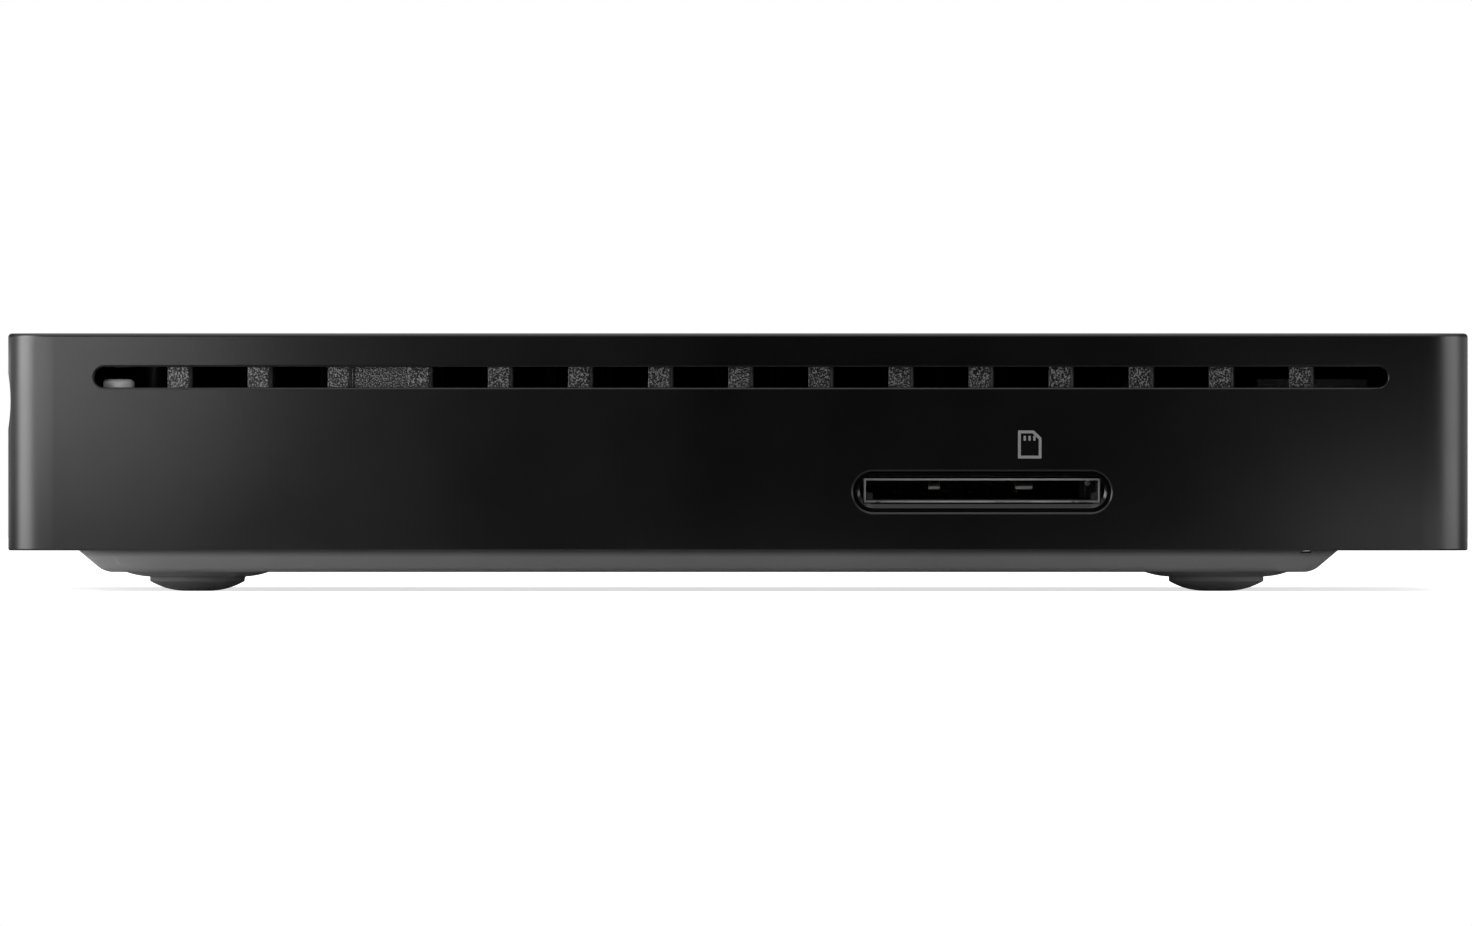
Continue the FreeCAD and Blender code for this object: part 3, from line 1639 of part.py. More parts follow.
def all_pieces():
    """Every node's name and its solid or group of solids."""
    grille = vent_grille()
    pieces = {
        "top_cover": top_cover(),
        "base_plate": base_plate(),
        "rear_panel": rear_panel(),
        "vent_grille_card_side": grille,
        "vent_grille_far_side": both_sides(grille)[1],
        "dust_filter": dust_filter(),
        "card_slot_bezel": card_slot_bezel(),
        "mount_inserts": mount_inserts(),
        "base_screws": base_screws(),
        "main_board": main_board(),
        "board_screws": small_screws(board_screw_places(), board_z),
        "processor": processor(),
        "memory_chips": memory_chips(),
        "storage_chip": storage_chip(),
        "thermal_pad": thermal_pad(),
        "heat_sink": heat_sink(),
        "heat_sink_screws": small_screws(sink_screw_places(), sink_top_z),
        "wireless_module": wireless_module(),
        "shield_can": shield_can(),
        "power_inductors": power_inductors(),
        "capacitors": capacitors(),
        "coin_cell": coin_cell(),
        "coin_cell_holder": coin_cell_holder(),
        "card_connector_base": card_connector_base(),
        "card_connector_shell": card_connector_shell(),
        "card_contacts": card_contacts(),
        "card_slider": card_slider(),
        "slider_spring": slider_spring(),
        "cam_pin": cam_pin(),
        "dc_inlet_body": dc_inlet_body(),
        "dc_inlet_pin": dc_inlet_pin(),
        "lan_jack_shell": lan_jack_shell(),
        "lan_jack_body": lan_jack_body(),
        "lan_jack_contacts": lan_jack_contacts(),
        "lan_jack_lights": lan_jack_lights(),
        "usb_shell": usb_shell(),
        "usb_body": usb_body(),
        "usb_contacts": usb_contacts(),
        "video_contacts": video_contacts(),
        "ir_window": ir_window(),
        "power_button": power_button(),
        "switch_body": switch_body(),
        "switch_plunger": switch_plunger(),
        "front_board": front_board(),
        "front_board_screws": front_board_screws(),
        "ir_receiver": ir_receiver(),
        "status_light": status_light(),
        "ribbon_cable": ribbon_cable(),
        "ribbon_sockets": ribbon_sockets(),
    }
    for name, (x, y) in foot_places().items():
        pieces[name] = foot(x, y)
    for name, (kind, y) in port_places().items():
        if kind == "video":
            pieces[name + "_shell"] = video_socket_shell(y)
            pieces[name + "_body"] = video_socket_body(y)
        if kind == "jack":
            pieces[name] = round_jack(y)
    return pieces


def write_parts(pieces):
    """One STEP file for each node."""
    os.makedirs("parts", exist_ok=True)
    for name, piece in pieces.items():
        shape = Part.makeCompound(piece) if isinstance(piece, list) else piece
        shape.exportStep(f"parts/{name}.step")


write_parts(all_pieces())
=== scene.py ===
import json
import math

import bmesh
import bpy
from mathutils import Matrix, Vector


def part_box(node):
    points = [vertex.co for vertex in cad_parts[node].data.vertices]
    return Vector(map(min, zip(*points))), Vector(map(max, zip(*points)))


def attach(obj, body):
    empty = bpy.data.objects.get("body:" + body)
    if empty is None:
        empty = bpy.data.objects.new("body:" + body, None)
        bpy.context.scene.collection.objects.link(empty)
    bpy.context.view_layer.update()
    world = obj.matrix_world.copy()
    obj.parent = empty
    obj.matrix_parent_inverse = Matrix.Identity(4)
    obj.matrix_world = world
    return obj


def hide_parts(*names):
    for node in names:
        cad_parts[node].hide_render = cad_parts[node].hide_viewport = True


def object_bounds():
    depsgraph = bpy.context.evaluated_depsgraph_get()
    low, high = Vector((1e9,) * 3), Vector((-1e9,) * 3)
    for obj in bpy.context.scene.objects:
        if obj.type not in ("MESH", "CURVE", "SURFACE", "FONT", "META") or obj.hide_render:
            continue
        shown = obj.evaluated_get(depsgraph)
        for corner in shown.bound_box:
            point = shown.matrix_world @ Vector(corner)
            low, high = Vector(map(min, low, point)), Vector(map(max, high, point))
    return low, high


# The looks of a flat digital signage player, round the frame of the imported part.
# X runs from the front face to the rear panel, Y from the memory-card side to the far side, Z up.
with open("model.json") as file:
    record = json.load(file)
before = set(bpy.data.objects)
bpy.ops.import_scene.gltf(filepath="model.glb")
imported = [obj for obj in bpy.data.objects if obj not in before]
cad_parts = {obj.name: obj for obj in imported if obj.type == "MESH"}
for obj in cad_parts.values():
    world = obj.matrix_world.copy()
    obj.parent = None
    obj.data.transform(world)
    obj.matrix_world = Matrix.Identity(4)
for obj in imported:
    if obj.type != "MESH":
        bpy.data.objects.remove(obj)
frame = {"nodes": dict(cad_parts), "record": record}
cad_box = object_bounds()
slot_of = {node: piece.material_slots[0].material.name for node, piece in frame["nodes"].items()}

# Sizes of the pieces, in metres
MM = 0.001
NEAR = 1e-6
X = Vector((1, 0, 0))
Y = Vector((0, 1, 0))
Z = Vector((0, 0, 1))
WALL = 2.0 * MM
CORNER_RADIUS = 5.0 * MM
TOP_EDGE = 0.42 * MM
LOWER_EDGE = 0.2 * MM
FIT_GAP = 0.15 * MM

# Openings of the cover
HOLLOW_RADIUS = 16.7 * MM
HOLLOW_DEPTH = 0.27 * MM
GRILLE_BORDER = 1.6 * MM
VENT_HEIGHT = 2.16 * MM
VENT_RIM = 0.24 * MM
CARD_RIM = 0.4 * MM
BEZEL_BORDER = 1.2 * MM
BEZEL_GAP = 0.05 * MM
BEZEL_LIP_WALL = 0.25 * MM
BEZEL_LIP_ROUND = 0.08 * MM
BEZEL_FLARE_DEPTH = 0.3 * MM
BEZEL_FLARE_WIDTH = 0.32 * MM
BEZEL_MOUTH_BORDER = 0.06 * MM
BEZEL_WEB = 0.6 * MM
MOUTH_WIDTH = 25.06 * MM
MOUTH_HEIGHT = 2.55 * MM
MOUTH_GAP = 0.1 * MM
PANEL_LAP = 1.2 * MM
WINDOW_LENGTH = 16.0 * MM
WINDOW_HEIGHT = 3.2 * MM
BUTTON_RADIUS = 3.0 * MM
BUTTON_GAP = 0.12 * MM
POST_RADIUS = 3.1 * MM
BOSS_RADIUS = 2.1 * MM
PILOT_SPARE = 1.0 * MM

# Ribs of the grilles
RIB_WIDTH = 2.7 * MM
RIB_PITCH = 8.5 * MM
RIB_COUNT = 15
RIB_ROUND = 0.6 * MM
RIB_EDGE = 0.12 * MM
WINDOW_MARGIN = 0.3 * MM
CLOSED_FIELD = 2
FIELD_SETBACK = 0.25 * MM
FIELD_SEAM = 0.16 * MM

# Base
PLATE = 1.8 * MM
DISH_FRONT = 7.3 * MM
DISH_REAR = 13.6 * MM
DISH_SIDE = 7.3 * MM
DISH_SLOPE = 1.19
DISH_CORNER = 9.0 * MM
DISH_EDGE = 2.2 * MM
FLANGE_RISE = 0.3 * MM
PAD_RADIUS = 7.65 * MM
PAD_HEIGHT = 0.51 * MM
PAD_DOME = 2.95 * MM
FOOT_RADIUS = 5.05 * MM
FOOT_SEAT = 0.4 * MM
FOOT_GAP = 0.08 * MM
FOOT_SIDE = 0.47 * MM
FOOT_FLAT = 1.2 * MM
FOOT_EDGE = 0.08 * MM
RIM_EDGE = 0.1 * MM
WELL_RADIUS = 2.75 * MM
WELL_WALL = 1.7 * MM
WELL_ROOF = 1.6 * MM
SINK_POST = 2.3 * MM
SINK_PLATE = 2.0 * MM
STANDOFF = 2.75 * MM
BOARD = 1.6 * MM
INSERT_WALL = 1.8 * MM
INSERT_ROOF = 0.6 * MM
AIR_SLOT_LENGTH = 22.0 * MM
AIR_SLOT_WIDTH = 2.2 * MM
AIR_SLOT_PITCH = 5.0 * MM
AIR_SLOT_COUNT = 11
AIR_SLOT_ROW = 38.0 * MM
LABEL_LENGTH = 54.0 * MM
LABEL_WIDTH = 36.0 * MM
LABEL_DEPTH = 0.3 * MM
LABEL_CORNER = 2.0 * MM
# Heights in millimetres between which painted shade darkens the base towards the cover, and by what share
PAINTED_JOINT_SHADE = (3.6, 4.4, 0.95)

# Screws
BASE_HEAD_RADIUS = 2.6 * MM
BASE_HEAD = 1.7 * MM
BASE_SHANK = 1.4 * MM
BASE_LENGTH = 9.0 * MM
BASE_SINK = 0.4 * MM
SMALL_HEAD_RADIUS = 1.7 * MM
SMALL_HEAD = 1.3 * MM
SMALL_SHANK = 0.95 * MM
SMALL_LENGTH = 5.0 * MM
HEAD_DOME = 0.5 * MM
CROSS_LENGTH = 2.0 * MM
CROSS_WIDTH = 0.55 * MM
CROSS_DEPTH = 0.8 * MM

# Power button's face, from its edge to its middle
BUTTON_EDGE = 0.25 * MM
BUTTON_RIM = 0.45 * MM
BUTTON_RING = 0.18 * MM
BUTTON_RING_DEPTH = 0.08 * MM
BUTTON_DISH = 0.9 * MM
BUTTON_DISH_DEPTH = 0.05 * MM
BUTTON_EYE = 0.6 * MM
BUTTON_EYE_DEPTH = 0.01 * MM

# Pin of the card slider
PIN_INSET = 0.77 * MM
PIN_Z = 11.5 * MM
PIN_RADIUS = 0.32 * MM
PIN_HEAD = 0.3 * MM
PIN_LENGTH = 0.6 * MM

# Card sign, printed above the card slot
SIGN_X = 29.7 * MM
SIGN_Z = 14.1 * MM
SIGN_WIDTH = 2.5 * MM
SIGN_HEIGHT = 2.97 * MM
SIGN_LINE = 0.3 * MM
SIGN_CORNER = 0.8 * MM
# Its three contact strips, measured in widths of its line
STRIP_START = 2.0
STRIP_PITCH = 1.7
STRIP_WIDTH = 0.8
STRIP_TOP = 1.9
STRIP_FOOT = 3.6
INK_DEPTH = 0.03 * MM
INK_SETBACK = 0.003 * MM

# Stage and view
FLOOR_SIZE = 6.0
FLOOR_GLOW = 0.7
AMBIENT = 0.9
# What gloss sees of the world: its levels to the sides, behind those and above
SIDE_LEVEL = 0.35
REAR_SIDE_LEVEL = 0.06
TOP_LEVEL = 0.95
# Where the floor turns dark for gloss: in front along Y, and beside the object as the square of X
DARK_FRONT = (-0.1, -0.075)
DARK_BESIDE = (0.0058, 0.0067)
LENS = 1000.0
SENSOR = 36.0
VIEW_WIDTH = 156.14 * MM
VIEW_X = -0.21 * MM
VIEW_Z = 13.62 * MM


# Making by hand: the few moves that every piece is made with

mesh_ops = bpy.ops.mesh


def hold(*pieces):
    """Selects these pieces alone; the first one is active."""
    bpy.ops.object.select_all(action="DESELECT")
    for piece in pieces:
        piece.select_set(True)
    bpy.context.view_layer.objects.active = pieces[0]


def settle(piece, name=None):
    """Puts a piece's place, turn and scale into its mesh."""
    piece.name = name or piece.name
    hold(piece)
    bpy.ops.object.transform_apply(location=True, rotation=True, scale=True)
    return piece


def start_block(name, low, high):
    """A block between two corners, to be shaped further."""
    low, high = Vector(low), Vector(high)
    bpy.ops.object.select_all(action="DESELECT")
    mesh_ops.primitive_cube_add(size=1, location=(low + high) / 2, scale=high - low)
    return settle(bpy.context.object, name)


def start_round(name, start, end, radius, sides=64):
    """A round bar between two points, to be shaped further."""
    start, end = Vector(start), Vector(end)
    turn = Z.rotation_difference(end - start).to_euler()
    middle = (start + end) / 2
    bpy.ops.object.select_all(action="DESELECT")
    mesh_ops.primitive_cylinder_add(
        vertices=sides, radius=radius, depth=(end - start).length, location=middle, rotation=turn)
    return settle(bpy.context.object, name)


def corners(part):
    """The vertices of a vertex, edge or face."""
    return getattr(part, "verts", [part])


def at(axis, value):
    """Picks what lies in the plane where the coordinate has this value."""
    return lambda part: all(abs(corner.co[axis] - value) < NEAR for corner in corners(part))


def within(low, high):
    """Picks what lies inside a box."""
    return lambda part: all(
        low[axis] - NEAR <= corner.co[axis] <= high[axis] + NEAR
        for corner in corners(part) for axis in range(3))


def facing(direction):
    """Picks faces that point one way."""
    return lambda face: face.normal.dot(direction) > 0.999


def along(direction):
    """Picks edges that run one way."""
    return lambda edge: abs((edge.verts[1].co - edge.verts[0].co).normalized().dot(direction)) > 0.999


def crease(edge):
    """Picks edges where the surface turns sharply."""
    return edge.calc_face_angle(0) > 0.5


def every(*tests):
    """Picks what passes all the tests."""
    return lambda part: all(test(part) for test in tests)


def anything(part):
    """Picks everything."""
    return True


def edit(piece, kind, chosen, *steps):
    """In edit mode, selects the VERT, EDGE or FACE parts that pass a test and runs operators on them."""
    hold(piece)
    bpy.ops.object.mode_set(mode="EDIT")
    mesh_ops.select_mode(type=kind)
    mesh_ops.select_all(action="DESELECT")
    mesh = bmesh.from_edit_mesh(piece.data)
    parts = {"VERT": mesh.verts, "EDGE": mesh.edges, "FACE": mesh.faces}[kind]
    for part in [part for part in parts if chosen(part)]:
        part.select_set(True)
    bmesh.update_edit_mesh(piece.data)
    for operator, settings in steps:
        operator(**settings)
    bpy.ops.object.mode_set(mode="OBJECT")
    return piece


def bevel(width, segments=3):
    """The step that rounds the selected edges."""
    return mesh_ops.bevel, {"offset": width, "segments": segments, "affect": "EDGES"}


def inset(width, push=0.0):
    """The step that draws the selected faces in, and pushes them out along their normal."""
    return mesh_ops.inset, {"thickness": width, "depth": push}


def extrude(way):
    """The step that extrudes the selected faces along a vector."""
    return mesh_ops.extrude_region_move, {"TRANSFORM_OT_translate": {"value": way}}


def resize(factors, middle):
    """The step that scales the selection about a point."""
    return bpy.ops.transform.resize, {"value": factors, "center_override": middle}


def move(way):
    """The step that moves the selection along a vector."""
    return bpy.ops.transform.translate, {"value": way}


def dome_steps(radius, flat_radius, rise, rings=8):
    """The inset steps that turn the end face of a round bar into a shallow dome with a flat."""
    run = radius - flat_radius
    bow = (run * run + rise * rise) / (2 * rise)
    reach = math.asin(run / bow)
    angles = [reach * (rings - number) / rings for number in range(rings + 1)]
    places = [(flat_radius + bow * math.sin(angle), bow * (1 - math.cos(angle))) for angle in angles]
    return [
        inset(wide - narrow, above - below) for (wide, above), (narrow, below) in zip(places, places[1:])]


merge = (mesh_ops.remove_doubles, {"threshold": NEAR})
outward = (mesh_ops.normals_make_consistent, {"inside": False})


def apply_modifier(piece, kind, **settings):
    """Adds a modifier with its settings and applies it."""
    step = piece.modifiers.new(kind.lower(), kind)
    for key, value in settings.items():
        setattr(step, key, value)
    hold(piece)
    bpy.ops.object.modifier_apply(modifier=step.name)
    return piece


def combine(piece, others, operation):
    """Cuts others out of a piece, or welds them to it. The others are used up."""
    for other in others:
        apply_modifier(piece, "BOOLEAN", object=other, operation=operation, solver="EXACT")
        bpy.data.objects.remove(other, do_unlink=True)
    return piece


def cut(piece, *cutters):
    """The piece without the cutters."""
    return combine(piece, cutters, "DIFFERENCE")


def weld(piece, *others):
    """The piece grown together with others."""
    return combine(piece, others, "UNION")


def start_slot(name, low, high, through, segments=16):
    """A block with two fully rounded ends, as a slot that runs through along an axis."""
    size = Vector(high) - Vector(low)
    half = min(size[axis] for axis in range(3) if abs(through[axis]) < 0.5) / 2
    piece = start_block(name, low, high)
    edit(piece, "EDGE", along(through), bevel(half, segments))
    return edit(piece, "VERT", anything, merge)


def soften(piece, width, segments=2, angle=35):
    """Rounds every sharp edge of a piece by a little."""
    return apply_modifier(
        piece, "BEVEL", width=width, segments=segments, limit_method="ANGLE",
        angle_limit=math.radians(angle), use_clamp_overlap=True)


def copy_of(piece, name, shift=(0, 0, 0), flip=(1, 1, 1), turn=(0, 0, 0)):
    """A copy with a mesh of its own, shifted, mirrored or turned."""
    copy = bpy.data.objects.new(name, piece.data.copy())
    bpy.context.scene.collection.objects.link(copy)
    copy.location = shift
    copy.rotation_euler = turn
    copy.scale = flip
    settle(copy)
    if flip != (1, 1, 1):
        edit(copy, "VERT", anything, outward)
    return copy


def joined(name, pieces):
    """Several pieces as one object."""
    hold(*pieces)
    bpy.ops.object.join()
    bpy.context.object.name = name
    return bpy.context.object


def from_node(node, name, edge=0.0, segments=2):
    """A copy of a CAD node's mesh with its loose triangles merged and its edges softened."""
    piece = bpy.data.objects.new(name, frame["nodes"][node].data.copy())
    bpy.context.scene.collection.objects.link(piece)
    hold(piece)
    mesh_ops.customdata_custom_splitnormals_clear()
    edit(piece, "VERT", anything, merge, (mesh_ops.dissolve_limited, {"angle_limit": math.radians(0.5)}))
    if edge:
        soften(piece, edge, segments)
    return piece


def finish_piece(piece, material, slot, *nodes, body="housing", angle=35):
    """Smooths a finished piece, gives it its material and puts it in the place of CAD nodes."""
    hold(piece)
    bpy.ops.object.shade_smooth_by_angle(angle=math.radians(angle))
    apply_modifier(piece, "WEIGHTED_NORMAL", keep_sharp=True)
    piece.data.materials.clear()
    piece.data.materials.append(material)
    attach(piece, body)
    if nodes:
        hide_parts(*nodes)
    return piece


def solids_of(node):
    """The box of each separate solid in a CAD node, as (lowest corner, highest corner)."""
    whole = from_node(node, "loose_copy")
    edit(whole, "VERT", anything, (mesh_ops.separate, {"type": "LOOSE"}))
    boxes = []
    for part in list(bpy.context.selected_objects):
        places = [corner.co for corner in part.data.vertices]
        low = Vector(min(place[axis] for place in places) for axis in range(3))
        high = Vector(max(place[axis] for place in places) for axis in range(3))
        boxes.append((low, high))
        bpy.data.objects.remove(part, do_unlink=True)
    return sorted(boxes, key=lambda box: tuple(round(value, 6) for value in box[0]))


# Materials

def linear(code):
    """An sRGB hex colour as linear red, green, blue and alpha."""
    shares = [int(code[place:place + 2], 16) / 255 for place in (1, 3, 5)]
    levels = [share / 12.92 if share <= 0.04045 else ((share + 0.055) / 1.055) ** 2.4 for share in shares]
    return levels + [1.0]


def add_node(tree, kind, settings=None, links=None):
    """Adds a node, sets its inputs or properties by name, and links its inputs to other nodes' outputs."""
    node = tree.nodes.new(kind)
    for key, value in (settings or {}).items():
        if isinstance(key, int) or key in node.inputs:
            node.inputs[key].default_value = value
        else:
            setattr(node, key, value)
    for key, source in (links or {}).items():
        tree.links.new(source, node.inputs[key])
    return node


def start_material(name, **shader_values):
    """A new material: (material, its node tree, its shader, its Object coordinates)."""
    material = bpy.data.materials.new(name)
    material.use_nodes = True
    tree = material.node_tree
    shader = tree.nodes["Principled BSDF"]
    for key, value in shader_values.items():
        shader.inputs[key.replace("_", " ")].default_value = value
    place = add_node(tree, "ShaderNodeTexCoord").outputs["Object"]
    return material, tree, shader, place


def grain(tree, place, size, detail=2.0):
    """Noise whose grains have a real size in millimetres."""
    settings = {"Scale": 1 / (size * MM), "Detail": detail}
    return add_node(tree, "ShaderNodeTexNoise", settings, {"Vector": place}).outputs["Fac"]


def ramp(tree, source, low, high, start, end):
    """Maps a source from the range low to high to the range start to end."""
    settings = {"From Min": low, "From Max": high, "To Min": start, "To Max": end}
    return add_node(tree, "ShaderNodeMapRange", settings, {"Value": source}).outputs["Result"]


def blend(tree, share, first, second):
    """A colour between two hex colours."""
    settings = {"data_type": "RGBA", 6: linear(first), 7: linear(second)}
    return add_node(tree, "ShaderNodeMix", settings, {0: share}).outputs[2]


def maths(tree, operation, first, second):
    """One sum on two values."""
    return add_node(tree, "ShaderNodeMath", {"operation": operation}, {0: first, 1: second}).outputs[0]


def between(tree, share, first, second):
    """A value a fixed share of the way between two others."""
    settings = {"data_type": "FLOAT", 0: share}
    return add_node(tree, "ShaderNodeMix", settings, {2: first, 3: second}).outputs[0]


def skin(tree, shader, colour, roughness, relief, depth):
    """Links a colour, a roughness and a relief of a real depth in millimetres to the shader."""
    tree.links.new(colour, shader.inputs["Base Color"])
    tree.links.new(roughness, shader.inputs["Roughness"])
    bump = add_node(tree, "ShaderNodeBump", {"Strength": 1.0, "Distance": depth * MM}, {"Height": relief})
    tree.links.new(bump.outputs["Normal"], shader.inputs["Normal"])


def moulded(name, dark, light, roughness, grain_size, grain_depth, mottle=18.0, speckle=0.3, **more):
    """Moulded plastic or rubber: an even colour with faint flow marks, and a fine tool texture."""
    material, tree, shader, place = start_material(name, **more)
    fine = grain(tree, place, grain_size)
    both = between(tree, speckle, grain(tree, place, mottle, 3.0), fine)
    colour = blend(tree, ramp(tree, both, 0.35, 0.65, 0.0, 1.0), dark, light)
    gloss = ramp(tree, both, 0.3, 0.7, roughness - 0.04, roughness + 0.04)
    skin(tree, shader, colour, gloss, fine, grain_depth)
    return material


def metal(name, dark, light, roughness, line_size, stretch=(1, 1, 1), depth=0.004, mottle=6.0, pure=1.0):
    """Bare or plated metal with the fine lines that rolling, drawing or turning leaves."""
    material, tree, shader, place = start_material(name, Metallic=pure)
    lay = add_node(tree, "ShaderNodeMapping", {"Scale": stretch}, {"Vector": place}).outputs["Vector"]
    lines = grain(tree, lay, line_size, 3.0)
    stain = grain(tree, place, mottle, 4.0)
    colour = blend(tree, ramp(tree, stain, 0.35, 0.65, 0.0, 1.0), dark, light)
    worn = between(tree, 0.5, lines, stain)
    gloss = ramp(tree, worn, 0.3, 0.7, roughness - 0.06, roughness + 0.08)
    skin(tree, shader, colour, gloss, lines, depth)
    return material


def cast_grain(name, dark, light, roughness, grain_size, grain_depth):
    """Plastic with a coarse etch texture of bright and dark pips; faces turned towards +X get painted shade
    and stay dark, as if lit from the left.
    """
    material, tree, shader, place = start_material(name)
    pips = grain(tree, place, grain_size, 1.0)
    # Painted shade: faces turned towards +X lose their bright pips, as on the ribs' right sides lit from
    # the left
    normal = add_node(tree, "ShaderNodeNewGeometry").outputs["Normal"]
    turned = add_node(tree, "ShaderNodeSeparateXYZ", links={0: normal}).outputs["X"]
    painted_side_shade = ramp(tree, turned, 0.1, 0.35, 1.0, 0.1)
    share = maths(tree, "MULTIPLY", ramp(tree, pips, 0.5, 0.62, 0.0, 1.0), painted_side_shade)
    colour = blend(tree, share, dark, light)
    gloss = ramp(tree, pips, 0.3, 0.7, roughness + 0.1, roughness - 0.1)
    skin(tree, shader, colour, gloss, pips, grain_depth)
    return material


def paint_joint_shade(material, low, high, share):
    """Paints shade on a material below a joint: a painted shadow that darkens it towards the joint above.
    Heights in millimetres.
    """
    tree = material.node_tree
    target = tree.nodes["Principled BSDF"].inputs["Base Color"]
    unshaded_colour = target.links[0].from_socket
    place = add_node(tree, "ShaderNodeTexCoord").outputs["Object"]
    height = add_node(tree, "ShaderNodeSeparateXYZ", links={0: place}).outputs["Z"]
    # Painted shade: the colour darkens towards black with height, in place of the cover's shadow
    shade = ramp(tree, height, low * MM, high * MM, 0.0, share)
    settings = {"data_type": "RGBA", 7: linear("#000000")}
    mixed = add_node(tree, "ShaderNodeMix", settings, {0: shade, 6: unshaded_colour})
    tree.links.new(mixed.outputs[2], target)


def circuit_laminate():
    """Glass-fibre board under solder mask: copper tracks show through as paler lines on a fine weave."""
    material, tree, shader, place = start_material("fr4_solder_mask", Roughness=0.35)
    mask = {"Color1": linear("#0d2a1c"), "Color2": linear("#0f3020"), "Mortar": linear("#2c5a3c")}
    sizes = {"Scale": 1 / (9.0 * MM), "Mortar Size": 0.03}
    tracks = add_node(tree, "ShaderNodeTexBrick", mask | sizes, {"Vector": place}).outputs["Color"]
    tree.links.new(tracks, shader.inputs["Base Color"])
    weave = grain(tree, place, 0.4)
    bump = add_node(tree, "ShaderNodeBump", {"Strength": 0.5, "Distance": 0.01 * MM}, {"Height": weave})
    tree.links.new(bump.outputs["Normal"], shader.inputs["Normal"])
    return material


